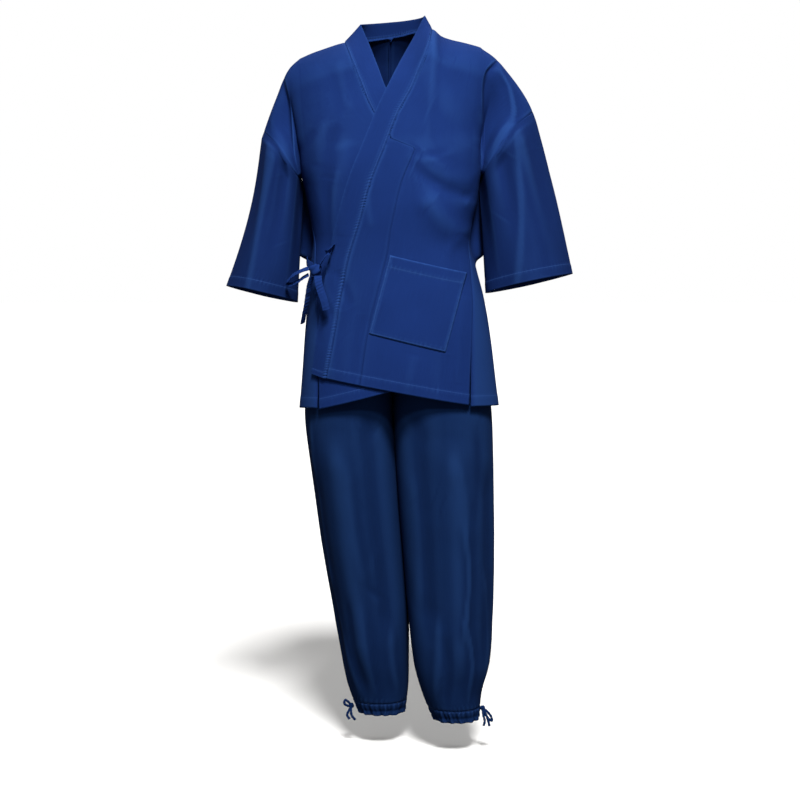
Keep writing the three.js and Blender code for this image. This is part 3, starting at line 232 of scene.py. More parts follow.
BODY_CREASES = table(
    "face x0 z0 x1 z1 bow depth width sharp",
    # left chest
    (-1, 126, -318, 158, -330, 0, -2.4, 8, 0.6),
    (-1, 132, -345, 156, -318, -3, 1.8, 7, 0.6),
    (-1, 60, -150, 150, -190, 10, -1.6, 24, 0.1),
    (-1, 40, -225, 92, -262, 5, 1.0, 8, 0.7),
    (-1, 20, -232, 82, -238, 4, -0.9, 7, 0.7),
    (-1, 44, -250, 108, -232, 3, 0.8, 7, 0.7),
    # left of the waist and skirt
    (-1, 152, -380, 96, -440, 8, 2.4, 12, 0.5),
    (-1, 150, -420, 110, -400, 6, -2.0, 9, 0.6),
    (-1, 128, -520, 118, -700, 6, 2.2, 16, 0.2),
    (-1, 98, -640, 92, -735, 3, -1.8, 14, 0.3),
    (-1, 30, -640, 14, -722, 3, 1.6, 16, 0.3),
    (-1, -70, -560, -90, -690, 5, -1.6, 15, 0.3),
    # right chest
    (-1, -122, -50, -98, -150, 6, 1.4, 13, 0.4),
    (-1, -146, -60, -118, -160, -6, -1.2, 15, 0.3),
    (-1, -148, -172, -162, -258, 8, 1.8, 14, 0.2),
    (-1, -170, -190, -196, -250, 6, -1.8, 12, 0.3),
    (-1, -124, -270, -132, -420, 6, 2.6, 11, 0.5),
    (-1, -176, -262, -160, -400, -6, 1.8, 13, 0.3),
    # under the tie
    (-1, -150, -480, -120, -560, 5, 2.4, 10, 0.5),
    (-1, -128, -470, -98, -540, -4, -2.0, 11, 0.5),
    (-1, -168, -500, -160, -620, 4, -2.2, 12, 0.4),
    (-1, -140, -560, -136, -690, 5, 1.8, 15, 0.3),
    (-1, -60, -300, -56, -380, 4, 1.2, 10, 0.4),
    # back
    (1, -165, -120, -110, -330, 14, 3.0, 14, 0.5),
    (1, -140, -90, -96, -250, 8, -2.4, 12, 0.5),
    (1, 150, -130, 98, -320, -14, 3.0, 14, 0.5),
    (1, 128, -96, 84, -240, -8, -2.4, 12, 0.5),
    (1, -60, -70, -20, -110, 6, 1.6, 10, 0.6),
    (1, 36, -66, -6, -104, -5, -1.5, 9, 0.6),
    (1, -160, -300, -92, -372, 8, 2.8, 11, 0.6),
    (1, -150, -345, -70, -396, -6, -2.6, 11, 0.5),
    (1, -142, -392, -84, -432, 6, 2.2, 10, 0.6),
    (1, 142, -296, 80, -366, -8, 2.8, 11, 0.6),
    (1, 128, -350, 60, -392, 6, -2.6, 11, 0.5),
    (1, 132, -392, 70, -440, -6, 2.2, 10, 0.6),
    (1, -40, -400, -52, -560, 8, 2.2, 16, 0.3),
    (1, 34, -420, 44, -600, -8, 2.0, 16, 0.3),
    (1, -110, -470, -124, -700, 8, -2.6, 18, 0.2),
    (1, 104, -480, 120, -720, -8, -2.4, 18, 0.2),
    (1, -150, -560, -160, -745, 5, 2.4, 15, 0.2),
    (1, 146, -580, 152, -750, -5, 2.4, 15, 0.2),
)

# Folds along the sleeves: place round from shoulder (0) to underarm (1), depth at armhole and
# cuff, and width in the same measure.
SLEEVE_FOLDS = table(
    "face round top bottom width",
    (-1, 0.2, 9, 0, 0.09), (-1, 0.5, -12, 2, 0.14), (1, 0.26, 8, 2, 0.1),
    (1, 0.55, -12, -2, 0.14),
)
# Creases of the sleeves: each end as a place down the sleeve (0 to 1) and round it (0 at the
# shoulder line, 1 at the underarm, by the front; 2 back at the shoulder, by the back).
SLEEVE_CREASES = table(
    "side along0 round0 along1 round1 depth width sharp",
    (1, -0.05, 0.2, 1.1, 0.70, 12.0, 0.16, 0.95),
    (1, 0.10, 0.40, 0.44, 0.70, -2.2, 0.13, 0.0),
    (1, 0.20, 0.10, 1.0, 0.30, -2.4, 0.12, 0.2),
    (1, 0.1, 1.3, 0.52, 1.62, 3.0, 0.050, 0.5),
    (1, 0.3, 1.16, 0.66, 1.5, -2.8, 0.055, 0.4),
    (1, 0.5, 1.5, 0.94, 1.66, 2.4, 0.055, 0.3),
    (1, 0.08, 1.72, 0.5, 1.84, -2.4, 0.050, 0.4),
    (-1, -0.05, 0.12, 1.1, 0.38, 11.0, 0.14, 0.95),
    (-1, 0.14, 0.46, 0.60, 0.66, -2.0, 0.14, 0.0),
    (-1, 0.1, 1.34, 0.48, 1.66, 2.8, 0.050, 0.5),
    (-1, 0.28, 1.2, 0.6, 1.54, -2.6, 0.055, 0.4),
    (-1, 0.52, 1.46, 0.92, 1.6, 2.2, 0.055, 0.3),
)

# The tuck beside the body's edge, over the arm: where the edge and the ridge beyond it run,
# how deep the cloth sinks between them, and how high the ridge is.
TUCK = {
    "left": table(
        "z edge ridge depth crest",
        (-39, 197, 205, 0, 0), (-52, 189, 206, 5, 3), (-71, 172, 207, 9, 5),
        (-104, 165, 222, 12, 5), (-140, 165, 230, 13, 5), (-176, 166, 233, 13, 4),
        (-240, 165, 222, 10, 0), (-300, 163, 200, 4, 0),
    ),
    "right": table(
        "z edge ridge depth crest",
        (-50, -240, -252, 0, 0), (-62, -236, -252, 5, 3), (-85, -233, -255, 9, 4),
        (-132, -222, -258, 11, 4), (-190, -217, -262, 11, 3), (-240, -212, -246, 9, 0),
        (-300, -200, -222, 4, 0),
    ),
}
TUCK_DROP = {FRONT: (6, 1), BACK: (20, 0.5)}  # width of its drop, and its share of the depth
TUCK_BEGINS, TUCK_ENDS = (0, 0.1), (0.84, 1)  # shares of the way across the valley
VALLEY_ENDS = (0.82, 1)  # shares of the way down, over which the valley closes
TUCK_NARROW, TUCK_WIDE, TUCK_CREST = 6, 12, 8  # where its floor begins, its least width, a crest's
# Where the grid is finest across the valley: at the body's edge, whose place is a share of the
# way across. It keeps in a range, settles to a rest near the armpit and has a band round it.
EDGE_REST, EDGE_RANGE, EDGE_SETTLES = 0.3, (0.14, 0.6), (0.85, 1)
EDGE_ROWS, EDGE_BAND = 9, (0.08, 0.12)

# The legs at each height: their outer and inner sides, their middle from front to back, and
# how deep they are before and behind it.
LEG = {
    "left": table(
        "z outer inner y front back",
        (-440, 130, -15, 0, 94, 84), (-520, 148, -15, 0, 100, 90),
        (-600, 164, -15, 0, 104, 98), (-680, 180, -15, 0, 108, 106),
        (-774, 191, -14, -2, 106, 106), (-900, 195, -7, -8, 103, 101),
        (-1041, 197, 5, -16, 98, 92), (-1180, 195, 17, -24, 94, 86),
        (-1290, 188, 29, -31, 84, 76), (-1354, 172, 46, -35, 68, 62),
        (-1412, 166, 70, -36, 54, 50),
    ),
    "right": table(
        "z outer inner y front back",
        (-440, -158, -15, 0, 94, 84), (-520, -166, -15, 0, 100, 90),
        (-600, -177, -15, 0, 104, 98), (-680, -189, -15, 0, 106, 106),
        (-774, -198, -14, 2, 104, 106), (-900, -184, -7, 7, 103, 101),
        (-1041, -166, 5, 13, 98, 92), (-1180, -143, 17, 18, 92, 86),
        (-1290, -124, 18, 21, 82, 76), (-1354, -111, 17, 22, 68, 64),
        (-1412, -90, 10, 22, 54, 50),
    ),
}
# The legs' folds and creases: leg (left 1, right -1), angle round it from the inner side by
# the front (a crease's at both ends), heights, depth, width in degrees, sharpness.
LEG_FOLDS = table(
    "leg angle z0 z1 depth width",
    (1, 100, -800, -1330, 8, 16), (1, 60, -730, -1250, -7, 15),
    (1, 145, -850, -1300, -6, 15), (1, 262, -800, -1330, 8, 16),
    (1, 300, -760, -1240, -7, 16), (-1, 108, -790, -1340, 8, 16),
    (-1, 66, -730, -1260, -7, 15), (-1, 150, -860, -1310, -6, 15),
    (-1, 258, -800, -1330, 8, 16), (-1, 296, -770, -1250, -7, 16),
)
LEG_CREASES = table(
    "leg a0 z0 a1 z1 depth width sharp",
    (1, 109, -1000, 106, -1215, 3.4, 5.0, 0.9),
    (1, 106, -1190, 120, -1350, 3.0, 6.0, 0.8),
    (1, 100, -860, 109, -1040, 1.6, 8.0, 0.4),
    (1, 72, -1190, 60, -1350, 2.4, 8.0, 0.4),
    (1, 84, -1230, 80, -1370, -2.0, 8.0, 0.4),
    (1, 50, -900, 46, -1150, 1.6, 9.0, 0.3),
    (1, 128, -800, 122, -980, -1.6, 9.0, 0.3),
    (1, 40, -770, 66, -850, 0.7, 10.0, 0.3),
    (1, 140, -1100, 150, -1340, 2.2, 9.0, 0.4),
    (1, 250, -820, 244, -1120, 2.4, 9.0, 0.4),
    (1, 280, -880, 286, -1200, -2.2, 9.0, 0.4),
    (1, 232, -1050, 226, -1340, 2.2, 9.0, 0.4),
    (1, 310, -1000, 304, -1330, 2.0, 9.0, 0.4),
    (1, 210, -760, 250, -860, 2.4, 10.0, 0.5),
    (1, 330, -770, 282, -850, -2.4, 10.0, 0.5),
    (-1, 143, -790, 150, -1130, 2.8, 6.0, 0.8),
    (-1, 150, -1100, 128, -1350, 2.8, 7.0, 0.7),
    (-1, 96, -880, 92, -1120, 1.8, 9.0, 0.3),
    (-1, 70, -1050, 76, -1110, 1.1, 9.0, 0.4),
    (-1, 88, -1116, 62, -1156, -1.1, 9.0, 0.4),
    (-1, 104, -1180, 96, -1350, 2.2, 8.0, 0.4),
    (-1, 60, -1220, 54, -1350, 2.0, 8.0, 0.4),
    (-1, 118, -1160, 112, -1360, -2.2, 8.0, 0.4),
    (-1, 44, -790, 78, -880, 0.6, 11.0, 0.3),
    (-1, 248, -820, 240, -1140, 2.4, 9.0, 0.4),
    (-1, 276, -900, 282, -1220, -2.2, 9.0, 0.4),
    (-1, 226, -1060, 222, -1340, 2.2, 9.0, 0.4),
    (-1, 306, -980, 300, -1330, 2.0, 9.0, 0.4),
    (-1, 206, -770, 246, -870, 2.4, 10.0, 0.5),
    (-1, 332, -780, 286, -860, -2.4, 10.0, 0.5),
)

# The jacket's tie at the right side and the small bows at the ankles: the points that a
# tape or cord runs through, a tape's direction sideways at both its ends, and its width.
TIES = {
    "front": dict(
        points=[(-131, -110, -419), (-144, -117, -434), (-154, -116, -448), (-160, -111, -457)],
        sideways=[(0.6, 0, 0.8), (0.5, 0.3, 0.8)], width=15,
    ),
    "side": dict(
        points=[(-189, -40, -452), (-189, -62, -455), (-184, -82, -459), (-177, -94, -463)],
        sideways=[(0, 0, 1), (0.1, 0.1, 1)], width=15,
    ),
    "loop": dict(
        points=[
            (-184, -105, -466), (-196, -106, -470), (-213, -101, -479), (-226, -92, -491),
            (-229, -86, -497), (-222, -88, -500), (-208, -96, -494), (-193, -101, -484),
            (-184, -102, -479),
        ],
        sideways=[(0.15, 0.8, 0.6), (0.15, 0.8, 0.6)], width=12.5,
    ),
    "end_front": dict(
        points=[
            (-165, -113, -481), (-163, -119, -496), (-158, -122, -513), (-152, -125, -531),
            (-148, -126, -549),
        ],
        sideways=[(1, 0.2, 0.1), (1, -0.3, 0.3)], width=15.5,
    ),
    "end_back": dict(
        points=[
            (-178, -97, -484), (-183, -92, -500), (-187, -84, -522), (-191, -76, -545),
            (-196, -66, -566), (-199, -58, -581),
        ],
        sideways=[(0.8, 0.6, 0.1), (0.7, 0.7, 0.2)], width=12.5,
    ),
}
KNOT = dict(centre=(-170, -104, -469), half=(12.5, 9, 12), turns=3)
BOW_KNOT = dict(half=(5.6, 4.8, 5.6), turns=2)
BOWS = {
    "right": dict(
        knot=(-103, 4, -1398),
        loop=[
            (-103, 4, -1398), (-111, 0, -1388), (-116, -1, -1385), (-118, -3, -1392),
            (-110, 0, -1398), (-103, 4, -1399),
        ],
        ends=[
            [(-103, 4, -1398), (-107, 1, -1406), (-112, -2, -1417), (-107, -3, -1426)],
            [(-103, 4, -1398), (-104, -2, -1407), (-102, -5, -1418), (-95, -4, -1427)],
        ],
    ),
    "left": dict(
        knot=(173, -52, -1388),
        loop=[
            (173, -52, -1388), (182, -56, -1394), (190, -57, -1404), (192, -57, -1414),
            (184, -57, -1408), (174, -53, -1392),
        ],
        ends=[
            [(173, -52, -1388), (179, -58, -1398), (184, -61, -1412), (187, -62, -1424)],
            [(173, -52, -1388), (174, -60, -1400), (177, -62, -1413), (175, -62, -1423)],
        ],
    ),
}

# Each sewn edge or hem: how far in its stitched line runs, how much the cloth puckers and
# sinks there, how pale its edge has worn, and how wide its turned hem is.
PLAIN = dict(stitch=None, pucker=0.0, groove=0.0, worn=0.0, hem=0.0)
SEAM = dict(PLAIN, pucker=0.06, groove=0.45, worn=0.06)
COLLAR_SEAM = dict(PLAIN, stitch=2.6, pucker=0.9, groove=0.5, worn=0.35, period=6.0)
COLLAR_SEAM_BODY = dict(PLAIN, pucker=0.4, groove=0.6, worn=0.2)
STRIP_SEAM = dict(PLAIN, pucker=0.04, groove=0.2, worn=0.03)
COLLAR_EDGE = dict(PLAIN, pucker=0.12, worn=0.45)
TURNED_HEM = dict(PLAIN, stitch=21.0, pucker=0.14, worn=0.35, hem=22.0)
SLIT_HEM = dict(PLAIN, stitch=11.0, pucker=0.12, worn=0.3, hem=12.0)
POCKET_EDGE = dict(PLAIN, stitch=2.4, pucker=0.25, groove=0.5, worn=0.7)
POCKET_HEM = dict(PLAIN, stitch=23.0, pucker=0.25, worn=0.8, hem=24.0)
CASING_EDGE = dict(PLAIN, stitch=3.0, pucker=0.8, groove=0.6, worn=0.2)

PUCKER_PERIOD = 9.5  # from one pucker to the next, where a seam states none
PUCKER_WIDTH = 5.6  # half widths, across the seam, of its puckers, dent and worn line
GROOVE_WIDTH = 2.4
WORN_WIDTH = 2.6
STITCH_DENT, STITCH_WIDTH = 0.35, 1.3  # how deep a stitched line sinks, and how wide
STITCH_WORN = 0.6  # how worn a stitched line is beside its edge
HEM_STEP = 0.55  # how far a turned hem stands up
ROLL, CRUMPLE, PATCH = 150, 120, 260  # sizes of the soft unevenness, crumples and their patches
NO_STITCH = 500.0  # the distance that stands for no stitched line
ALLOWANCE = ((0.4, 1.0), (4.5, 2.4))  # a seam allowance's lines: on past the edge, and under
END_SHARE = 0.02  # the small ring that closes a tube, of the tube's width
CORD_TWIST, CORD_ACROSS = 7, (0.2, 1.0, 0.1)  # one turn of a cord, and where its section starts


# ---- Small helpers ---------------------------------------------------------------------------


def hermite(start, rise, leaving, arriving, t):
    """A cubic curve that rises from a start, with its slope where it leaves and arrives."""
    bend = (1 - t) * (leaving - rise) - t * (arriving - rise)
    return start + rise * t + bend * t * (1 - t)


def column(tab, key, name, at):
    """A column's smooth value at places along its key: a cubic Hermite curve through the
    rows, with slopes from the rows on both sides."""
    k, v = tab[key], tab[name]
    if k[-1] < k[0]:
        k, v = k[::-1], v[::-1]
    slope = np.empty_like(v)
    slope[1:-1] = (v[2:] - v[:-2]) / (k[2:] - k[:-2])
    slope[0] = (v[1] - v[0]) / (k[1] - k[0])
    slope[-1] = (v[-1] - v[-2]) / (k[-1] - k[-2])
    i = np.clip(np.searchsorted(k, at) - 1, 0, len(k) - 2)
    span = k[i + 1] - k[i]
    t = np.clip((at - k[i]) / span, 0, 1)
    return hermite(v[i], v[i + 1] - v[i], slope[i] * span, slope[i + 1] * span, t)


def lerp(a, b, t):
    """From a to b by the share t."""
    return a + (b - a) * t


def smooth(at, low, high):
    """From 0 to 1 between low and high, with level ends."""
    t = np.clip((at - low) / (high - low), 0, 1)
    return t * t * (3 - 2 * t)


def bell(off, width):
    """A bell curve: 1 in the middle, and about a third at its half width."""
    return np.exp(-((off / width) ** 2))


def eased(count):
    """Places from 0 to 1 that are closer together at both ends."""
    return (1 - np.cos(np.linspace(0, np.pi, count))) / 2


def unevenness(u, v, size, seed):
    """Soft unevenness from -1 to 1: the mean of five sine waves in turned directions, each
    with its phase bent by a slower wave across it."""
    total = 0
    for k in range(5):
        turn = seed * 1.7 + k * 2.4
        a = (u * np.cos(turn) + v * np.sin(turn)) / (size * (0.7 + 0.17 * k))
        b = (v * np.cos(turn * 1.3) - u * np.sin(turn * 1.3)) / (size * (1.3 + 0.2 * k))
        total = total + np.sin(2 * np.pi * a + 1.8 * np.sin(2 * np.pi * b + k))
    return total / 5


def ripple(along, period, seed):
    """Uneven waves along a seam: a sine whose phase and height wander slowly."""
    wander = 2.1 * np.sin(along / 17 + seed) + 1.7 * np.sin(along / 41 + 2 * seed)
    swell = 0.5 + 0.3 * np.sin(along / 29 + 3 * seed) + 0.3 * np.sin(along / 8.3 + seed)
    return swell * np.sin(2 * np.pi * along / period + wander)


def crease_height(off, width, sharp):
    """A fold's profile: a bell when soft, and a pinched peak with long flanks when sharp."""
    blunt = lerp(1.0, 0.18, sharp) * width
    pinched = np.exp(-(np.sqrt(off ** 2 + blunt ** 2) - blunt) / (0.8 * width))
    return lerp(bell(off, width), pinched, sharp)


def path_length(path):
    """The length of a path through points."""
    return np.linalg.norm(np.diff(path, axis=0), axis=1).sum()


def fold_sum(folds, face, x, z):
    """The height of the listed folds at places seen flat: each a profile across the bowed
    line between its ends, running out softly past the ends."""
    total = np.zeros(np.broadcast(face, x, z).shape)
    for f, x0, z0, x1, z1, bow, depth, width, sharp in zip(*folds.values()):
        dx, dz = x1 - x0, z1 - z0
        long = np.hypot(dx, dz)
        raw = ((x - x0) * dx + (z - z0) * dz) / long ** 2
        t = np.clip(raw, 0, 1)
        across = ((x - x0) * dz - (z - z0) * dx) / long - bow * 4 * t * (1 - t)
        past = (raw - t) * long
        off = np.hypot(across, past)
        taper = 1 if sharp == 0 else (0.25 + 0.75 * np.sqrt(4 * t * (1 - t)))
        total = total + np.where(face == f, depth * taper * crease_height(off, width, sharp), 0)
    return total


def line_creases(creases, keys, u, v):
    """The height of creases that run from place to place on a cloth with measures u and v:
    profiles across straight lines, running out softly. keys pick the rows that apply."""
    total = np.zeros(np.broadcast(u, v).shape)
    for row in zip(*creases.values()):
        own, (u0, v0, u1, v1, depth, width, sharp) = row[:-7], row[-7:]
        if own != keys:
            continue
        du, dv = u1 - u0, v1 - v0
        long = np.hypot(du, dv)
        raw = ((u - u0) * du + (v - v0) * dv) / long ** 2
        t = np.clip(raw, 0, 1)
        off = np.hypot(((u - u0) * dv - (v - v0) * du) / long, (raw - t) * long)
        taper = 0.3 + 0.7 * np.sqrt(4 * t * (1 - t))
        total = total + depth * taper * crease_height(off, width, sharp)
    return total


# ---- The jacket body's surface ---------------------------------------------------------------


def square_reach(angle, exponent):
    """How far out a unit rounded square is at an angle: there, the powers of its two
    measures add up to 1."""
    s, c = np.abs(np.sin(angle)), np.abs(np.cos(angle))
    return (s ** exponent + c ** exponent) ** (-1 / exponent)


def rounded_square(angle):
    """Unit rounded-square section: how far out and how far forward at an angle."""
    reach = square_reach(angle, SQUARE)
    return np.sin(angle) * reach, np.cos(angle) * reach


def angle_at(out):
    """The angle of the rounded square at which it is that far out."""
    across = np.clip(np.abs(out), 0, 0.999)
    return np.sign(out) * np.arctan2(across, (1 - across ** SQUARE) ** (1 / SQUARE))


def ridge_at(face, angle, out):
    """Over one place of a row, how far back and how high the shoulder seam or neckline is."""
    of_side = lambda find: np.where(angle >= 0, find(RIDGE["left"]), find(RIDGE["right"]))
    neck = of_side(lambda ridge: ridge["out"][1])
    seam = of_side(lambda ridge: ridge["out"][-1])
    behind = RIDGE_BACK * (1 - (out / seam) ** 2)
    arc = np.where((out < neck) & (face > 0), NECK_BACK * (1 - (out / neck) ** 2), 0)
    return behind + arc, of_side(lambda ridge: column(ridge, "out", "z", out))


def depth_at(face, level):
    """The body's depth before or behind its middle at a level."""
    front, back = column(BODY, "level", "front", level), column(BODY, "level", "back", level)
    return np.where(face < 0, front, back)


def hem_height(hem, x, y):
    """A hem's height at a place sideways and forwards."""
    h = HEM[hem]
    return h["middle"] + h["slope"] * x - h["forwards"] * (y - HEM_CENTRE)


def flare_at(face, angle, level):
    """How far the cloth stands out behind the front's edge, below the armpit: a bell round
    the body between the side and the back, times a height from the table."""
    turned = np.degrees(np.abs(angle))
    around = np.where(face < 0, turned, 180 - turned)
    left, right = column(FLARE, "level", "left", level), column(FLARE, "level", "right", level)
    round_body = smooth(around, *FLARE_BEGINS) * (1 - smooth(around, *FLARE_ENDS))
    return np.where(angle < 0, right, left) * round_body


def body_point(face, angle, level, share, hem, lift=0.0):
    """The jacket's surface: a rounded square at each level that rises into the shoulder seam
    above the armpits and runs down to the hem below the slits, plus its folds."""
    face, angle, level, share = np.broadcast_arrays(face, angle, level, share)
    out, forward = rounded_square(angle)
    upper = level > ARMPIT
    over_y, over_z = ridge_at(face, angle, np.abs(out) * BODY["half"][0])
    down = np.where(upper, level / ARMPIT, 1)
    z = over_z * (1 - down) + level
    at = np.where(upper, level, z)
    for _ in range(HEM_STEPS):
        x = column(BODY, "level", "centre", at) + out * column(BODY, "level", "half", at)
        y = face * forward * depth_at(face, at)
        low = lerp(SLIT_TOP, hem_height(hem, x, y), share)
        z = np.where(share > 0, low, z)
        at = np.where(share > 0, low, at)
    half, deep = column(BODY, "level", "half", at), depth_at(face, at)
    drop = np.clip(np.maximum(over_z - z, 0) / SHOULDER_ROUND, 0, 1)
    turn = np.where(upper, np.sqrt(1 - (1 - drop) ** 2), 1)
    x = column(BODY, "level", "centre", at) + out * half
    y = lerp(over_y, face * forward * deep, turn)
    away_x = np.sign(out) * np.abs(out) ** (SQUARE - 1) / half
    away_y = face * np.sign(forward) * np.abs(forward) ** (SQUARE - 1) / deep
    long = np.hypot(away_x, away_y)
    lap = np.clip((LAP_ANGLE - angle) / (2 * LAP_ANGLE), 0, 1)
    if hem == "left":
        lift = lift + LAP * lap * turn
    elif hem == "right":
        lift = lift + LAP * (lap - 1) * turn
    shown = np.where(forward > 0, turn * forward, 0)
    lift = lift + (fold_sum(BODY_FOLDS, face, x, z) + fold_sum(BODY_CREASES, face, x, z)) * shown
    x = x + np.sign(out) * flare_at(face, angle, at)
    return np.stack([x + away_x / long * lift, y + away_y / long * lift, z], axis=-1)


def body_point_round(face, angle, level, share, hem):
    """A body point whose angle may pass the side and carry on round the other face."""
    past = np.abs(angle) > np.pi / 2
    folded = np.where(past, np.sign(angle) * (np.pi - np.abs(angle)), angle)
    return body_point(np.where(past, -face, face), folded, level, share, hem)


def crossing(line, level, share, hem):
    """The angle at which each row crosses an upright line, found by repeated steps."""
    angle = np.zeros_like(level)
    for _ in range(CROSSING_STEPS):
        p = body_point(FRONT, angle, level, share, hem)
        at = np.where(level > ARMPIT, level, p[..., 2])
        x = column(line, "z", "x", p[..., 2]) - column(BODY, "level", "centre", at)
        angle = angle_at(x / column(BODY, "level", "half", at))
    return angle


def tuck_at(face, side, x, z):
    """How far forward the cloth stands over the arm: beyond the body's edge it drops steeply,
    then comes back evenly to a narrow crest. The back has a softer one."""
    pick = lambda name: column(TUCK[side], "z", name, z)
    off = WAY[side] * (x - pick("edge"))
    span = WAY[side] * (pick("ridge") - pick("edge"))
    drop, rest = TUCK_DROP[face]
    sink = smooth(off, 0, drop) * (1 - smooth(off, TUCK_NARROW, np.maximum(span, TUCK_WIDE)))
    crest = pick("crest") * crease_height(off - span, TUCK_CREST, 0.8)
    return crest * (face < 0) - pick("depth") * sink * rest


def tuck_shares(face, side, hem, count):
    """Places across the valley, closer together round the body's edge, row by row. The
    edge's own place is averaged over a few rows and settles towards the armpit."""
    even = np.linspace(0, 1, 81)
    x = valley_point(face, side, even, LEVELS, hem)[..., 0]
    beyond = WAY[side] * (x - column(TUCK[side], "z", "edge", LEVELS)) > 0
    edge = np.where(beyond.any(axis=1), even[np.argmax(beyond, axis=1)], EDGE_REST)
    settled = smooth(LEVELS[:, 0] / ARMPIT, *EDGE_SETTLES)
    edge = lerp(np.clip(edge, *EDGE_RANGE), EDGE_REST, settled)
    edge = np.convolve(
        np.pad(edge, EDGE_ROWS // 2, mode="edge"), np.full(EDGE_ROWS, 1 / EDGE_ROWS), "valid")
    near = count // 3
    knots = np.stack([edge * 0, edge - EDGE_BAND[0], edge + EDGE_BAND[1], edge * 0 + 1])
    spread = np.concatenate([
        np.linspace(0, 1, near)[:-1], 1 + np.linspace(0, 1, near + 2)[:-1],
        2 + np.linspace(0, 1, count - 2 * near),
    ])
    low = np.minimum(spread.astype(int), 2)
    return (knots[low] + (knots[low + 1] - knots[low]) * (spread - low)[:, None]).T


def valley_point(face, side, share, level, hem):
    """From the body's fold (0) to the armhole seam (1): a Bezier curve that leaves the body
    straight ahead, turns back into the valley and comes up to the seam."""
    way = WAY[side]
    down = level / ARMPIT
    start = body_point(face, way * FOLD_ANGLE, level, 0, hem)
    before = body_point(face, way * (FOLD_ANGLE - FOLD_STEP), level, 0, hem)
    ahead = (start - before)[..., :2]
    ahead = ahead / np.linalg.norm(ahead, axis=-1, keepdims=True)
    pick = lambda name: column(VALLEY, "down", name, down)
    ring = np.stack([
        NECK_CENTRE + way * column(ARMHOLE[side], "down", "out", down),
        face * ARMHOLE_DEPTH * np.sin(np.pi * np.clip(down, 0, 1)) ** ARMHOLE_ROUND,
    ], axis=-1)
    a = start[..., :2]
    b = a + ahead * pick("turn")[..., None]
    c = ring - np.stack([way * pick("inwards"), face * pick("behind")], axis=-1)
    s = np.asarray(share, float)[..., None]
    flat = a * (1 - s) ** 3 + 3 * b * s * (1 - s) ** 2 + 3 * c * s ** 2 * (1 - s) + ring * s ** 3
    unit = rounded_square(FOLD_ANGLE)[0]
    seam = RIDGE[side]["out"][-1]
    _, over_z = ridge_at(face, way, lerp(unit * BODY["half"][0], seam, share))
    z = over_z * (1 - down) + level
    fade = smooth(share, *TUCK_BEGINS) * (1 - smooth(share, *TUCK_ENDS))
    flat[..., 1] += face * tuck_at(face, side, flat[..., 0], z) * fade
    valley = np.concatenate([flat, (z + 0 * flat[..., 0])[..., None]], axis=-1)
    turned = body_point(face, way * lerp(FOLD_ANGLE, np.pi / 2, share), level, 0, hem)
    return lerp(valley, turned, smooth(down + 0 * z, *VALLEY_ENDS)[..., None])


# ---- Rows and panels of the jacket -----------------------------------------------------------

# Each row's level down to the slits, and its share of the way from there to the hem.
LEVELS = np.concatenate([
    ARMPIT * eased(CHEST_ROWS)[:-1], np.linspace(ARMPIT, SLIT_TOP, WAIST_ROWS),
    np.full(SKIRT_ROWS, SLIT_TOP),
])[:, None]
SHARES = np.concatenate([
    np.zeros(CHEST_ROWS + WAIST_ROWS - 1), np.linspace(0, 1, SKIRT_ROWS + 1)[1:],
])[:, None]


def neck_angle(side):
    """The angle of the shoulder's inner end."""
    return WAY[side] * angle_at(RIDGE[side]["out"][1] / BODY["half"][0])


def seam_angle(side, hem):
    """The side seam's angle from the middle of the front, row by row."""
    corner = hem_height(hem, WAY[side] * SLIT_OUT, -SLIT_FORWARD)
    height = np.where(SHARES > 0, lerp(SLIT_TOP, corner, SHARES), LEVELS)
    parting = SLIT_PARTING * SHARES * (1 if hem == "back" else -1)
    return np.radians(column(SIDE_SEAM, "level", side, height)) + parting


def row_points(face, side, inner, hem, count, valley):
    """Rows from an inner angle out to the armhole or the side seam."""
    way = WAY[side]
    upper = LEVELS[:, 0] > ARMPIT
    seam = seam_angle(side, hem)
    outer = seam if face < 0 else np.pi - seam
    fold = np.where(
        LEVELS > ARMPIT, FOLD_ANGLE, np.minimum(FOLD_ANGLE, outer * SIDE_SHARE))
    chest = np.linspace(0, 1, count)[:-1]
    side_share = tuck_shares(face, side, hem, valley)
    inside = body_point(face, lerp(inner, way * fold, chest), LEVELS, SHARES, hem)
    hung = body_point_round(face, way * lerp(fold, outer, side_share), LEVELS, SHARES, hem)
    arm = valley_point(face, side, side_share, LEVELS, hem)
    return np.concatenate([inside, np.where(upper[:, None, None], arm, hung)], axis=1)


def back_points(side):
    """One half of the back, from the middle out."""
    neck = neck_angle(side)
    share = np.linspace(0, 1, NECK_COLUMNS)[:-1]
    middle = body_point(BACK, neck * share, LEVELS, SHARES, "back")
    return np.concatenate([
        middle, row_points(BACK, side, neck, "back", *BACK_COLUMNS),
    ], axis=1)


def strip_start(side):
    """The row where the narrow strip beside a collar starts."""
    angle = crossing(COLLAR[side], LEVELS, SHARES, side)
    z = body_point(FRONT, angle, LEVELS, SHARES, side)[..., 2]
    return int(np.argmax(z[:, 0] <= STRIP[side]["z"][0])) - 1


def inner_angle(side):
    """The angle where a front panel ends: at the collar, and lower down at the strip. The
    strip widens from a point over its first rows."""
    at_collar = crossing(COLLAR[side], LEVELS, SHARES, side)
    at_strip = crossing(STRIP[side], LEVELS, SHARES, side)
    place = np.arange(len(LEVELS))[:, None] - strip_start(side)
    return np.where(place > 0, at_strip, at_collar + WAY[side] * SLIVER * (place == 0))


def front_points(side):
    """A front panel, from the collar and the strip out to the armhole and side seam."""
    return row_points(FRONT, side, inner_angle(side), side, *FRONT_COLUMNS)


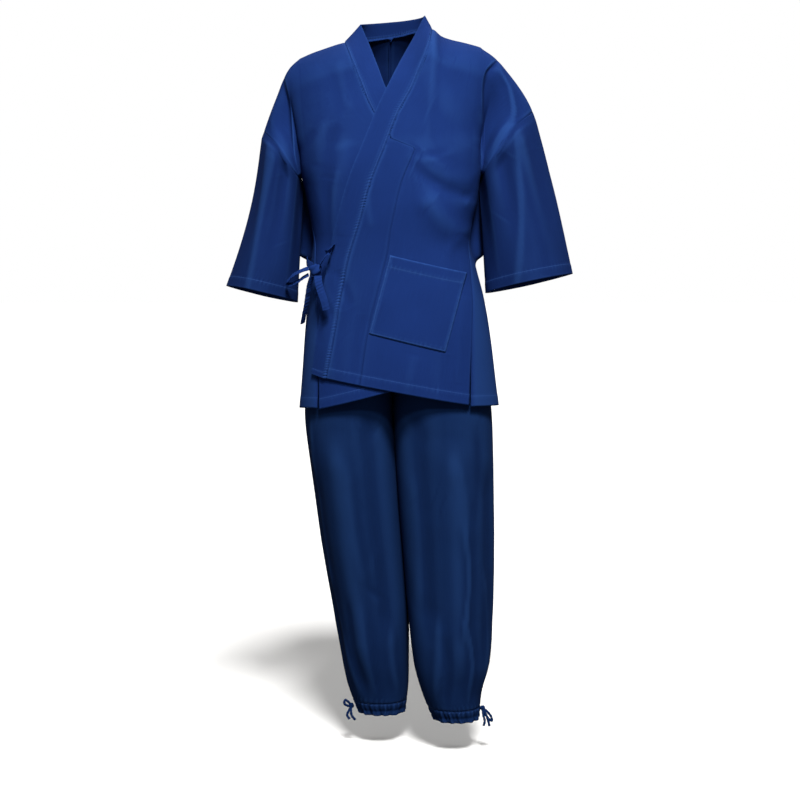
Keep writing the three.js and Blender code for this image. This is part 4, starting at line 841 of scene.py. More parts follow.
def strip_points(side):
    """The narrow strip between a front panel and the collar."""
    start = strip_start(side)
    from_angle = crossing(COLLAR[side], LEVELS, SHARES, side)
    angle = lerp(from_angle, inner_angle(side), np.linspace(0, 1, STRIP_COLUMNS))
    return body_point(FRONT, angle[start:], LEVELS[start:], SHARES[start:], side)


def front_point(x, z, hem, lift=0.0):
    """A point on the jacket's front at a place seen from the front, by repeated steps."""
    level = np.array(z, float)
    for _ in range(PLACE_STEPS):
        half = column(BODY, "level", "half", level)
        out = (x - column(BODY, "level", "centre", level)) / half
        angle = angle_at(out)
        across = np.clip(np.abs(out), 0, 0.999) * BODY["half"][0]
        over = np.where(
            x < NECK_CENTRE, column(RIDGE["right"], "out", "z", across),
            column(RIDGE["left"], "out", "z", across),
        )
        down = np.clip((over - z) / (over - ARMPIT), 0, 1)
        level = np.where(z > ARMPIT, ARMPIT * down, z)
    return body_point(FRONT, angle, level, 0, hem, lift)


def collar_points(side):
    """A collar band: straight across from its seam to its free edge, round the back of the
    neck and over the shoulder, then laid on the chest down to the hem."""
    tab = COLLAR[side]
    across = np.linspace(0, 1, COLLAR_COLUMNS)
    share = np.linspace(0, 1, NECK_ROWS)[:-1][:, None]
    seam = body_point(BACK, neck_angle(side) * share, 0.0, 0.0, "back")
    turn = share * np.pi / 2
    top_x, top_y, top_z = tab["edge_x"][0], tab["edge_y"][0], tab["edge_z"][0]
    edge = np.stack([
        NECK_CENTRE + (top_x - NECK_CENTRE) * np.sin(turn),
        top_y + (NECK_BACK - BAND_IN) * np.cos(turn),
        lerp(BAND_TOP, top_z, share),
    ], axis=-1)
    neck = lerp(seam, edge, across[:, None])
    seam = body_point(FRONT, crossing(tab, LEVELS, SHARES, side), LEVELS, SHARES, side)
    pick = lambda name: column(tab, "z", name, seam[..., 2])
    edge = np.stack([pick("edge_x"), pick("edge_y"), pick("edge_z")], axis=-1)
    straight = lerp(seam, edge, across[:, None])
    lying = front_point(straight[..., 0], straight[..., 2], side)
    lying[:, :1] = seam
    stand = np.clip(pick("stand"), 0, 1) * (across > 0)
    return np.concatenate([neck, lerp(lying, straight, stand[..., None])])


def sleeve_points(side):
    """A sleeve: straight lines from the armhole seam to the cuff's pointed oval, bowed a
    little along the outer edge, with its folds. It closes round at the shoulder line."""
    cuff = CUFF[side]
    down = np.concatenate([eased(SLEEVE_HALF), eased(SLEEVE_HALF)[-2:0:-1]])
    face = np.concatenate([np.full(SLEEVE_HALF, FRONT), np.full(SLEEVE_HALF - 2, BACK)])
    ring = np.where(
        (face < 0)[:, None],
        valley_point(FRONT, side, 1.0, ARMPIT * down, "back"),
        valley_point(BACK, side, 1.0, ARMPIT * down, "back"),
    )
    y = face * CUFF_DEPTH * (4 * down * (1 - down)) ** lerp(*CUFF_ROUND, down)
    end = np.stack([
        lerp(cuff["outer"][0], cuff["inner"][0], down),
        cuff["y"] + y,
        lerp(cuff["outer"][1], cuff["inner"][1], down) - CUFF_TILT * y,
    ], axis=-1)
    share = np.linspace(0, 1, SLEEVE_ROWS)[:, None]
    points = lerp(ring[None], end[None], share[..., None])
    points[..., 0] += WAY[side] * cuff["swell"] * np.sin(np.pi * share) * (1 - down)
    for f, place, top, bottom, width in zip(*SLEEVE_FOLDS.values()):
        near = np.where(face == f, bell(down - place, width), 0)
        points[..., 1] += face * lerp(top * smooth(share, 0, 0.12), bottom, share) * near
    return points, share, np.where(face < 0, down, 2 - down)[None]


def sleeve_inside(side, points):
    """A place inside the sleeve for each of its points: on the line from inside its top to
    the middle of the cuff, at the point's height."""
    (top_x, top_z), cuff = SLEEVE_MIDDLE[side], CUFF[side]
    t = np.clip((points[..., 2] - top_z) / (cuff["inner"][1] - top_z), 0, 1)
    cuff_x = (cuff["outer"][0] + cuff["inner"][0]) / 2
    return np.stack([lerp(top_x, cuff_x, t), lerp(0, cuff["y"], t), points[..., 2]], axis=-1)


def pocket_points():
    """The pocket's patch on the left front: straight lines between its four corners."""
    down = np.linspace(0, 1, POCKET_ROWS)[:, None]
    along = np.linspace(0, 1, POCKET_COLUMNS)
    (ax, az), (bx, bz) = POCKET_TOP
    (cx, cz), (dx, dz) = POCKET_BOTTOM
    x = lerp(lerp(ax, bx, along), lerp(cx, dx, along), down)
    z = lerp(lerp(az, bz, along), lerp(cz, dz, along), down)
    return front_point(x, z, "left", POCKET_OUT)


# ---- Trousers --------------------------------------------------------------------------------


def parted(z):
    """How far the legs have parted: from 0 at the seat to 1 at the crotch and below."""
    return np.clip((SEAT - z) / (SEAT - CROTCH), 0, 1)


def leg_point(leg, angle, z, gather=0.0):
    """A leg's surface at an angle round it from the inner side, by the front: a rounded
    section that opens into the other leg above the crotch, plus its folds."""
    tab, way = LEG[leg], WAY[leg]
    pick = lambda name: column(tab, "z", name, z)
    apart = smooth(CROTCH - z, 0, PARTING_DOWN) * LEG_PARTING
    inner = np.where(z > CROTCH, TROUSER_CENTRE, pick("inner") + way * apart)
    half = np.abs(pick("outer") - inner) / (1 + parted(z))
    centre = inner + way * parted(z) * half
    reach = square_reach(angle, LEG_SQUARE)
    deep = np.where(np.sin(angle) > 0, pick("front"), pick("back"))
    off = gather + 0 * z
    degrees = np.degrees(angle)
    for side, at, z0, z1, depth, width in zip(*LEG_FOLDS.values()):
        if side == way:
            ends = smooth(z0 - z, 0, LEG_FADE) * smooth(z - z1, 0, LEG_FADE)
            off = off + depth * bell(degrees - at, width) * ends
    for side, a0, z0, a1, z1, depth, width, sharp in zip(*LEG_CREASES.values()):
        if side == way:
            t = np.clip((z0 - z) / (z0 - z1), 0, 1)
            line = lerp(a0, a1, t) + CREASE_BOW * np.sin(np.pi * t)
            ends = smooth(z0 - z, -CREASE_FADE, CREASE_FADE)
            ends = ends * smooth(z - z1, -CREASE_FADE, CREASE_FADE)
            off = off + depth * ends * crease_height(degrees - line, width, sharp)
    return np.stack([
        centre - way * np.cos(angle) * reach * (half + off),
        pick("y") - np.sin(angle) * reach * (deep + off),
        z + 0 * angle,
    ], axis=-1)


def leg_points(leg, face):
    """The front or back panel of a leg, from the waist casing to the ankle casing."""
    z = np.concatenate([
        np.linspace(WAIST - CASING, SEAT, SEAT_ROWS)[:-1],
        lerp(SEAT, CROTCH, np.linspace(0.01, 1, FORK_ROWS) ** 0.7)[:-1],
        np.linspace(CROTCH, ANKLE, LEG_ROWS),
    ])[:, None]
    meet = np.arctan2((1 - parted(z) ** LEG_SQUARE) ** (1 / LEG_SQUARE), parted(z))
    share = np.linspace(0, 1, LEG_COLUMNS)
    angle = lerp(meet, np.pi, share) if face < 0 else lerp(np.pi, 2 * np.pi - meet, share)
    return leg_point(leg, angle, z)


def leg_middle(leg, z):
    """The middle of a leg at a height."""
    tab = LEG[leg]
    middle = (column(tab, "z", "outer", z) + column(tab, "z", "inner", z)) / 2
    return np.stack([middle, column(tab, "z", "y", z), z], axis=-1)


def ankle_points(leg):
    """The ankle casing, gathered in uneven waves that grow towards its lower edge, and drawn
    in by its cord a little below the middle."""
    down = np.linspace(0, 1, ANKLE_ROWS)[:, None]
    angle = np.linspace(0, 2 * np.pi, ANKLE_COLUMNS, endpoint=False)[None]
    turn = angle * ANKLE_TUCKS + 0.9 * np.sin(3 * angle + 1) + 0.6 * np.sin(5 * angle)
    gather = 2.4 * down * np.cos(turn) + 1.1 * np.sin(np.pi * down) * np.cos(2.3 * turn + 1)
    drawn_in = 1.6 * bell(down - 0.62, 0.16)
    z = lerp(ANKLE, ANKLE_END, down) + 0 * angle
    return leg_point(leg, angle + 0 * down, z, gather - drawn_in)


def waist_points():
    """The casing round the waist, drawn up in small gathers by its elastic."""
    z = np.linspace(WAIST, WAIST - CASING, WAIST_CASING_ROWS)[:, None]
    half = np.linspace(np.pi / 2, 3 * np.pi / 2, WAIST_HALF)[None]
    gather = lambda a: 0.8 * np.cos(WAIST_TUCKS * a + np.sin(7 * a))
    return np.concatenate([
        leg_point(leg, angle + 0 * z, z + 0 * angle, gather(angle))
        for leg, angle in (("left", half), ("right", half[:, -2:0:-1]))
    ], axis=1)


# ---- Meshes ----------------------------------------------------------------------------------


def finer(points, times):
    """A grid with more rows: cubic curves through the rows of points it has, whose slopes
    are taken over the distance between the rows."""
    at = np.linspace(0, len(points) - 1, (len(points) - 1) * times + 1)
    i = np.minimum(at.astype(int), len(points) - 2)
    t = (at - i)[:, None, None]
    apart = np.linalg.norm(np.diff(points, axis=0), axis=2).mean(axis=1)
    slope = np.gradient(points, np.concatenate([[0], np.cumsum(apart)]), axis=0)
    step = apart[i][:, None, None]
    rise = points[i + 1] - points[i]
    return hermite(points[i], rise, slope[i] * step, slope[i + 1] * step, t)


def grid_normals(points, closed, inside):
    """Unit directions out of a grid: the cross product of its two central differences, turned
    away from a place inside."""
    right = np.roll(points, -1, 1) - np.roll(points, 1, 1)
    if not closed:
        right[:, 0] = points[:, 1] - points[:, 0]
        right[:, -1] = points[:, -1] - points[:, -2]
    down = np.gradient(points, axis=0)
    normal = np.cross(right, down)
    normal /= np.maximum(np.linalg.norm(normal, axis=-1, keepdims=True), 1e-9)
    flip = np.sum(normal * (points - inside)) < 0
    return (-normal if flip else normal), flip


def lengths(points, closed):
    """Distances across and down a grid along its own lines. A closed grid's first column
    comes again at the end, at the full distance round."""
    step = np.linalg.norm(np.diff(points, axis=1), axis=-1)
    if closed:
        last = np.linalg.norm(points[:, :1] - points[:, -1:], axis=-1)
        step = np.concatenate([step, last], axis=1)
    across = np.concatenate([np.zeros((len(points), 1)), np.cumsum(step, axis=1)], axis=1)
    fall = np.linalg.norm(np.diff(points, axis=0), axis=-1)
    down = np.concatenate([np.zeros((1, points.shape[1])), np.cumsum(fall, axis=0)])
    if closed:
        down = np.concatenate([down, down[:, :1]], axis=1)
    return across, down


def tucked_in(moved, maps, normal, edges):
    """Adds the seam allowance of the named edges: two more lines of points that run on past
    the edge, under the cloth that is sewn on there."""
    for name in edges:
        rows = name in ("top", "bottom")
        last = -1 if name in ("outer", "bottom") else 0
        pick = (lambda a, k: a[k]) if rows else (lambda a, k: a[:, k])
        edge, out = pick(moved, last), pick(normal, last)
        ahead = edge - pick(moved, -2 if last else 1)
        ahead /= np.maximum(np.linalg.norm(ahead, axis=-1, keepdims=True), 1e-9)
        lines = [edge + ahead * past - out * under for past, under in ALLOWANCE]
        axis = 0 if rows else 1
        join = lambda a, extra: np.concatenate([a, extra] if last else [extra, a], axis=axis)
        moved = join(moved, np.stack(lines if last else lines[::-1], axis=axis))
        normal = join(normal, np.stack([out, out], axis=axis))
        maps = {k: join(v, np.stack([pick(v, last)] * 2, axis=axis)) for k, v in maps.items()}
    return moved, maps


def nearest(choices, like):
    """Of several signed distances, the one nearest to nought at each place. Where there is
    none, the distance that stands for no stitched line."""
    stacked = np.stack(choices or [like * 0 + NO_STITCH])
    pick = np.argmin(np.abs(stacked), axis=0)
    return np.take_along_axis(stacked, pick[None], 0)[0]


def sew(points, closed, inside, edges, seed, crumple=0.5, extra=None, tucked=(), out=0.0):
    """Gives a cloth its seams, hems and small unevenness: along each sewn edge a groove with
    puckers beside it, over a hem a slight step, and everywhere a soft unevenness and a few
    faint crumples. Returns the moved points, their maps and whether the faces turn round."""
    normal, flip = grid_normals(points, closed, inside)
    across, down = lengths(points, closed)
    cols = points.shape[1]
    wide, tall = across[:, -1:], down[-1:]
    ways = {
        "inner": (across, down), "outer": (wide - across, down),
        "top": (down, across), "bottom": (tall - down, across),
    }
    height = 0.35 * unevenness(across, down, ROLL, seed)
    fine = unevenness(across, down, CRUMPLE, seed + 5)
    patch = smooth(unevenness(across, down, PATCH, seed + 9), 0.1, 0.7)
    height = height - 0.5 * crumple * np.exp(-np.abs(fine) / 0.06) * patch
    worn = np.zeros_like(across)
    upright, level = [], []
    for i, (name, (off, along)) in enumerate(ways.items()):
        edge = edges.get(name, PLAIN)
        part = edge.get("part", 1.0)
        line = edge["stitch"] or 0.0
        height = height - part * edge["groove"] * bell(off, GROOVE_WIDTH)
        waves = ripple(along, edge.get("period", PUCKER_PERIOD), seed + i)
        height = height + part * edge["pucker"] * bell(off - line, PUCKER_WIDTH) * waves
        worn = worn + part * edge["worn"] * bell(off, WORN_WIDTH)
        if edge["hem"]:
            height = height + HEM_STEP * smooth(edge["hem"] + 1.2 - off, 0, 1.6)
        if line:
            height = height - STITCH_DENT * bell(off - line, STITCH_WIDTH)
            worn = worn + STITCH_WORN * edge["worn"] * bell(off - line, WORN_WIDTH)
            (upright if name in ("inner", "outer") else level).append(off - line)
    if extra is not None:
        height = height + (np.concatenate([extra, extra[:, :1]], axis=1) if closed else extra)
    moved = points + normal * height[:, :cols, None]
    bend = moved * 0
    bend[1:-1] += moved[2:] + moved[:-2] - 2 * moved[1:-1]
    bend[:, 1:-1] += moved[:, 2:] + moved[:, :-2] - 2 * moved[:, 1:-1]
    # how sharply the cloth bends outwards; from it the material paints crests paler (partly wear,
    # partly painted highlight) and hollows darker (painted shade)
    crest = -np.sum(bend * normal, axis=-1)
    crest = (crest + np.roll(crest, 1, 0) + np.roll(crest, -1, 0)) / 3
    if closed:
        crest = np.concatenate([crest, crest[:, :1]], axis=1)
    maps = {
        "cloth": np.stack([across, down], axis=-1) * MM,
        "stitch": np.stack([
            nearest(upright, across),
            nearest(level, across),
        ], axis=-1) * MM,
        # edge wear, and the bend that drives the painted highlight and shade
        "worn": np.stack([np.clip(worn, 0, 1), np.clip(0.5 + crest * 0.6, 0, 1)], axis=-1),
    }
    moved = moved + grid_normals(moved, closed, inside)[0] * out
    moved, maps = tucked_in(moved, maps, normal, tucked)
    return moved, maps, flip


def mesh_from_grid(name, points, maps, flip, closed):
    """A mesh from a grid of points in millimetres, with its maps on the faces' corners."""
    tall, cols = points.shape[:2]
    spans = cols if closed else cols - 1
    i, j = np.meshgrid(np.arange(tall - 1), np.arange(spans), indexing="ij")
    i, j = i.ravel(), j.ravel()
    corner = [(i, j), (i, j + 1), (i + 1, j + 1), (i + 1, j)]
    if flip:
        corner = corner[::-1]
    faces = np.stack([a * cols + b % cols for a, b in corner], axis=-1)
    mesh = bpy.data.meshes.new(name)
    mesh.vertices.add(tall * cols)
    mesh.vertices.foreach_set("co", (points * MM).astype(np.float32).ravel())
    mesh.loops.add(faces.size)
    mesh.loops.foreach_set("vertex_index", faces.astype(np.int32).ravel())
    mesh.polygons.add(len(faces))
    mesh.polygons.foreach_set("loop_start", np.arange(0, faces.size, 4, dtype=np.int32))
    mesh.update(calc_edges=True)
    for label, values in maps.items():
        layer = mesh.uv_layers.new(name=label)
        uv = np.stack([values[a, b] for a, b in corner], axis=1)
        layer.data.foreach_set("uv", uv.astype(np.float32).ravel())
    mesh.shade_smooth()
    return mesh


def add_piece(name, mesh, material, slot, nodes):
    """Shows a mesh as a piece that rides on the garment and stands for CAD nodes."""
    piece = bpy.data.objects.new(name, mesh)
    bpy.context.scene.collection.objects.link(piece)
    mesh.materials.append(material)
    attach(piece, "root")
    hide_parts(*nodes)
    return piece


def thicken(piece, thickness, bevel=0.0):
    """Gives a piece the wall of its cloth, inwards from its face, and softens its rims."""
    wall = piece.modifiers.new("wall", "SOLIDIFY")
    wall.thickness = thickness * MM
    wall.offset = -1
    wall.use_even_offset = False
    wall.use_rim = True
    if bevel:
        soft = piece.modifiers.new("soft rims", "BEVEL")
        soft.width = bevel * MM
        soft.segments = 2
        soft.limit_method = "ANGLE"
        soft.angle_limit = np.radians(60)


def add_cloth(name, points, inside, material, slot, nodes, flat, area=None, held="hung",
              rests_on=(), closed=False, edges=None, seed=0, wall=1.3, bevel=0.0,
              crumple=0.5, extra=None, out=0.0, tucked=()):
    """Sews and thickens one cloth. flat, its cut in millimetres, is not used."""
    moved, maps, flip = sew(
        points, closed, inside, edges or {}, seed, crumple, extra, tucked, out)
    mesh = mesh_from_grid(name, moved, maps, flip, closed)
    piece = add_piece(name, mesh, material, slot, nodes)
    thicken(piece, wall, bevel)


def path_points(points, count):
    """A smooth path through points: a cubic curve over the distance along their chords."""
    p = np.array(points, float)
    far = np.concatenate([[0], np.cumsum(np.linalg.norm(np.diff(p, axis=0), axis=1))])
    tab = {"far": far, "x": p[:, 0], "y": p[:, 1], "z": p[:, 2]}
    at = np.linspace(0, far[-1], count)
    return np.stack([column(tab, "far", c, at) for c in "xyz"], axis=-1)


def swept(path, across, section_u, section_v):
    """A section carried along a path: at each step, the section's first measure lies along
    the sideways direction and its second along the normal."""
    ahead = np.gradient(path, axis=0)
    ahead /= np.linalg.norm(ahead, axis=1, keepdims=True)
    side = across - np.sum(across * ahead, axis=1, keepdims=True) * ahead
    side /= np.linalg.norm(side, axis=1, keepdims=True)
    normal = np.cross(ahead, side)
    sideways = side[:, None] * section_u[..., None]
    return path[:, None] + sideways + normal[:, None] * section_v[..., None]


def capped(name, rings):
    """A closed tube mesh from rings of points: each end draws in to a small ring, which one
    face closes."""
    tall, cols = rings.shape[:2]
    first, last = (
        lerp(end.mean(1, keepdims=True), end, END_SHARE) for end in (rings[:1], rings[-1:]))
    closed = np.concatenate([first, rings, last])
    middle = rings.mean(1)
    far = np.concatenate([[0], np.cumsum(np.linalg.norm(np.diff(middle, axis=0), axis=1))])
    far = np.concatenate([far[:1], far, far[-1:]])
    girth = path_length(rings[tall // 2])
    u, v = np.meshgrid(np.arange(cols + 1) / cols * girth * MM, far * MM)
    maps = {
        "cloth": np.stack([u, v], -1),
        "stitch": np.full(u.shape + (2,), NO_STITCH * MM),
        "worn": np.broadcast_to([0.1, 0.5], u.shape + (2,)),
    }
    _, flip = grid_normals(closed, True, closed.mean(1, keepdims=True))
    mesh = mesh_from_grid(name, closed, maps, flip, True)
    shape = bmesh.new()
    shape.from_mesh(mesh)
    shape.verts.ensure_lookup_table()
    for start in (0, (tall + 1) * cols):
        shape.faces.new(shape.verts[start:start + cols]).smooth = True
    bmesh.ops.recalc_face_normals(shape, faces=shape.faces)
    shape.to_mesh(mesh)
    shape.free()
    return mesh


def tape_mesh(name, points, width, sideways, thick=2.2, seed=0):
    """A stitched tape: a flat rounded section along a path, thinner beside its edges, with
    cross wrinkles and softly wandering edges."""
    path = path_points(points, TAPE_ROWS)
    t = np.linspace(0, 1, TAPE_ROWS)[:, None]
    across = lerp(np.array(sideways[0], float), np.array(sideways[1], float), t)
    a = np.linspace(0, 2 * np.pi, TAPE_COLUMNS, endpoint=False)[None]
    far = t * path_length(path)
    half = width / 2 * (1 + 0.05 * ripple(far, 13, seed))
    u = half * np.sign(np.cos(a)) * np.abs(np.cos(a)) ** 0.55
    v = thick / 2 * np.sign(np.sin(a)) * np.abs(np.sin(a)) ** 0.8
    wave = 0.75 * ripple(far + 3 * np.cos(a), 7, seed + 2) + 0.5 * ripple(far, 27, seed)
    inner = 0.35 * bell(np.abs(u) - half + 2.2, 0.9)
    v = v * (1 - inner) + wave * np.abs(np.sin(a)) ** 0.3 * 0.8
    return capped(name, swept(path, across, u, v)), path


def cord_mesh(name, points, radius, seed=0):
    """A soft twisted cord: a round section with a slight two-ply twist along a path."""
    count = max(CORD_ROWS, CORD_ROWS_A_POINT * len(points))
    path = path_points(points, count)
    a = np.linspace(0, 2 * np.pi, CORD_COLUMNS, endpoint=False)[None]
    far = np.linspace(0, 1, count)[:, None] * path_length(path)
    r = radius * (1 + 0.09 * np.cos(2 * a - 2 * np.pi * far / CORD_TWIST + seed))
    return capped(name, swept(path, np.array(CORD_ACROSS), r * np.cos(a), r * np.sin(a))), path


def wrapped_knot(name, centre, half, turns, seed=0):
    """A knot: a lump wound over by bands, as an ellipsoid whose radius swells in ridges that
    run round it at a slant."""
    lat = np.linspace(0.03, np.pi - 0.03, KNOT_ROWS)[:, None]
    lon = np.linspace(0, 2 * np.pi, KNOT_COLUMNS, endpoint=False)[None]
    band = np.cos(turns * (lat * 1.4 + 0.8 * np.sin(lon + seed)) + lon)
    r = 1 + 0.10 * band + 0.05 * np.sin(3 * lon + 2 * lat + seed)
    unit = np.stack([
        np.sin(lat) * np.cos(lon), np.sin(lat) * np.sin(lon), np.cos(lat) + 0 * lon,
    ], axis=-1)
    return capped(name, np.array(centre, float) + unit * r[..., None] * np.array(half, float))


# ---- Materials -------------------------------------------------------------------------------


def linear(colour):
    """An sRGB hex colour as linear red, green, blue and alpha."""
    value = np.array([int(colour[i:i + 2], 16) for i in (1, 3, 5)]) / 255
    value = np.where(value <= 0.04045, value / 12.92, ((value + 0.055) / 1.055) ** 2.4)
    return (*value.tolist(), 1.0)


def shade(colour, factor):
    """A linear colour made darker or paler."""
    return tuple(min(1.0, c * factor) for c in colour[:3]) + (1.0,)


def add_node(tree, kind, inputs=(), **settings):
    """Adds a node with its settings, and sets or links its inputs. A node given as an input
    stands for its first output."""
    made = tree.nodes.new("ShaderNode" + kind)
    for key, value in settings.items():
        setattr(made, key, value)
    for key, value in inputs.items() if isinstance(inputs, dict) else enumerate(inputs):
        if isinstance(value, bpy.types.Node):
            value = value.outputs[0]
        if isinstance(value, bpy.types.NodeSocket):
            tree.links.new(value, made.inputs[key])
        else:
            made.inputs[key].default_value = value
    return made


def empty_material(name):
    """A new material and its node tree, with no nodes."""
    material = bpy.data.materials.new(name)
    material.use_nodes = True
    material.node_tree.nodes.clear()
    return material, material.node_tree


# Real sizes of the cloth's patterns, in millimetres.
WALE = 1.25  # between twill lines; real ones lie 0.5 mm apart, too fine to show
STITCH, STITCH_LONG = 3.4, 0.72  # from one stitch to the next, and the thread's share of it
THREAD = 0.55  # half a thread's width, drawn wider than a real one so that it shows
DYE_CLOUD = 1000 / 9  # a hand's width
STREAK_WIDE, STREAK_LONG = 1000 / 900, 1000 / 22
RUB = 1000 / 160
FIBRE = 1000 / 1500


def cotton_twill(name, colour, worn, thread):
    """Woven, yarn-dyed indigo cotton twill, washed a few times: matt, with a faint bloom at
    grazing angles, pale where edges rub, paler on the crests of creases, which is partly wear and
    partly painted highlight, darker in their hollows, which is painted shade, and slightly uneven
    in its dye."""
    material, tree = empty_material(name)
    new = partial(add_node, tree)
    per_metre = lambda size: 1 / (size * MM)
    cloth = new("UVMap", uv_map="cloth")
    uv = new("SeparateXYZ", [cloth]).outputs
    stitch = new("SeparateXYZ", [new("UVMap", uv_map="stitch")]).outputs
    wear = new("SeparateXYZ", [new("UVMap", uv_map="worn")]).outputs
    place = new("TexCoord").outputs["Object"]
    # dye: cloudy over a hand's width, streaked along the warp
    cloudy = new("TexNoise", {
        "Vector": place, "Scale": per_metre(DYE_CLOUD), "Detail": 5.0, "Roughness": 0.6,
    })
    dye = new("Mix", {0: cloudy, 6: shade(colour, 0.80), 7: shade(colour, 1.22)},
              data_type="RGBA").outputs[2]
    warp = (per_metre(STREAK_WIDE), per_metre(STREAK_LONG), 1.0)
    streaks = new("TexNoise", {
        "Vector": new("Mapping", {"Vector": cloth, "Scale": warp}),
        "Scale": 1.0, "Detail": 3.0, "Roughness": 0.7,
    })
    streaks = new("Math", [streaks, 0.42], operation="SUBTRACT", use_clamp=True)
    # twill lines across the cloth
    twill = new("TexWave", {
        "Vector": cloth, "Scale": 2 * np.pi / (10 * WALE * MM) / 1.414, "Distortion": 0.6,
        "Detail": 1.0, "Detail Scale": 1.5,
    }, wave_type="BANDS", bands_direction="DIAGONAL").outputs["Fac"]
    # rubbed edges, which is wear; the crests of creases, partly wear and partly painted highlight;
    # and their hollows, painted shade
    patchy = new("TexNoise", {"Vector": place, "Scale": per_metre(RUB), "Detail": 3.0})
    patchy = new("Math", [patchy, 1.6, -0.25], operation="MULTIPLY_ADD", use_clamp=True)
    rubbed = new("Math", [wear[0], patchy], operation="MULTIPLY", use_clamp=True)
    # crests of creases paler in the worn colour: partly wear, partly painted highlight
    crest = new("Math", [wear[1], 0.52], operation="SUBTRACT", use_clamp=True)
    # hollows of creases darker: painted shade
    hollow_shade = new("Math", [0.47, wear[1]], operation="SUBTRACT", use_clamp=True)
    # stitches: dashes of thread in the stitched lines
    dashes = []
    for off, along in ((stitch[0], uv[1]), (stitch[1], uv[0])):
        near = new("Math", [off], operation="ABSOLUTE")
        near = new("Math", [near, THREAD * MM], operation="LESS_THAN")
        turn = new("Math", [along, STITCH * MM], operation="DIVIDE")
        turn = new("Math", [turn], operation="FRACT")
        turn = new("Math", [turn, STITCH_LONG], operation="LESS_THAN")
        dashes.append(new("Math", [near, turn], operation="MULTIPLY"))
    sewn = new("Math", dashes, operation="MAXIMUM")
    # each coat over the dye: where it lies, how strong it is, and its colour
    for mask, strength, coat in (
        (streaks, 1.1, shade(colour, 1.5)), (twill, 0.28, shade(colour, 0.55)),
        (crest, 0.45, worn), (hollow_shade, 0.64, shade(colour, 0.45)), (rubbed, 0.5, worn),
        (sewn, 0.8, thread),
    ):
        share = new("Math", [mask, strength], operation="MULTIPLY")
        dye = new("Mix", {0: share, 6: dye, 7: coat}, data_type="RGBA").outputs[2]
    # relief: twill lines sink, fibres and stitches stand up
    fibre = new("TexNoise", {"Vector": place, "Scale": per_metre(FIBRE), "Detail": 2.0})
    relief = new("Math", [twill, -0.12], operation="MULTIPLY")
    for mask, depth in ((fibre, 0.12), (sewn, 0.3)):
        relief = new("Math", [mask, depth, relief], operation="MULTIPLY_ADD")
    bump = new("Bump", {"Strength": 0.55, "Distance": MM, "Height": relief})
    shader = new("BsdfPrincipled", {
        "Base Color": dye, "Roughness": 0.92, "Normal": bump, "IOR": 1.5,
        "Specular IOR Level": 0.05, "Sheen Weight": 0.015, "Sheen Roughness": 0.45,
        "Sheen Tint": shade(worn, 1.3),
    })
    new("OutputMaterial", {"Surface": shader})
    return material


def studio_paper(colour):
    """The floor's pale paper. It throws little light back, as a floor that runs on into a
    dark studio does."""
    material, tree = empty_material("studio_paper")
    seen = add_node(tree, "LightPath").outputs["Is Camera Ray"]
    tone = add_node(tree, "Mix", {0: seen, 6: shade(colour, 0.12), 7: colour}, data_type="RGBA")
    shader = add_node(tree, "BsdfDiffuse", {"Color": tone.outputs[2]})
    add_node(tree, "OutputMaterial", {"Surface": shader})
    return material


# ---- Settings --------------------------------------------------------------------------------


class SamueSizes(bpy.types.PropertyGroup):
    """Sizes of the samue's cloth."""

    cloth: bpy.props.FloatProperty(
        name="Cloth", description="Thickness of the jacket's and trousers' cloth at its edges",
        default=0.0013, min=0.0005, max=0.003, unit="LENGTH")
    collar: bpy.props.FloatProperty(
        name="Collar", description="Thickness of the layered collar",
        default=0.0028, min=0.001, max=0.004, unit="LENGTH")
    cord: bpy.props.FloatProperty(
        name="Ankle cord", description="Thickness of the ankle cords",
        default=0.0052, min=0.002, max=0.006, unit="LENGTH")
    crumple: bpy.props.FloatProperty(
        name="Crumple", description="Depth of the faint crumples, in millimetres",
        default=0.45, min=0, max=2)


def colour_setting(name, description, default):
    """A colour that the user can change, as an sRGB hex value."""
    return bpy.props.StringProperty(name=name, description=description, default=default)


class SamueColours(bpy.types.PropertyGroup):
    """Colours of the samue, as sRGB hex values."""

    jacket: colour_setting("Jacket", "Dye of the jacket", "#152d66")
    trousers: colour_setting("Trousers", "Dye of the trousers", "#0f2650")
    # the worn colour also paints the crests of creases paler, partly as painted highlight
    worn: colour_setting("Worn", "Rubbed edges and crests", "#3560a4")
    thread: colour_setting("Thread", "Sewing thread", "#2c4a86")
    floor: colour_setting("Floor", "The studio floor", "#f4f3f1")


def settings():
    """The scene's sizes and colours."""
    scene = bpy.context.scene
    return scene.samue_sizes, scene.samue_colours


# The tones of the jacket's cloth. A real set has one dye; here the sleeves and the back are drawn
# darker than the fronts, as painted shade for the shadow they lie in.
JACKET_SHADE_TONES = {"jacket": 1.0, "sleeve": 0.8, "back": 0.86}
TROUSER_WORN = 0.7  # how pale the trousers have worn, next to the jacket


def jacket_material(part="jacket"):
    """The jacket's cloth, made once for each of its tones; the sleeve and back tones carry painted
    shade.
    """
    colours, tone = settings()[1], JACKET_SHADE_TONES[part]
    return bpy.data.materials.get(f"{part}_indigo_twill") or cotton_twill(
        f"{part}_indigo_twill", shade(linear(colours.jacket), tone),
        shade(linear(colours.worn), tone), linear(colours.thread))


def trouser_material():
    """The trousers' cloth, made once."""
    colours = settings()[1]
    return bpy.data.materials.get("trouser_navy_twill") or cotton_twill(
        "trouser_navy_twill", linear(colours.trousers),
        shade(linear(colours.worn), TROUSER_WORN), linear(colours.thread))


def cloth_settings(material, slot):
    """What all pieces of one cloth share: its look, its wall and its crumples."""
    sizes = settings()[0]
    return dict(material=material, slot=slot, wall=sizes.cloth / MM, crumple=sizes.crumple)


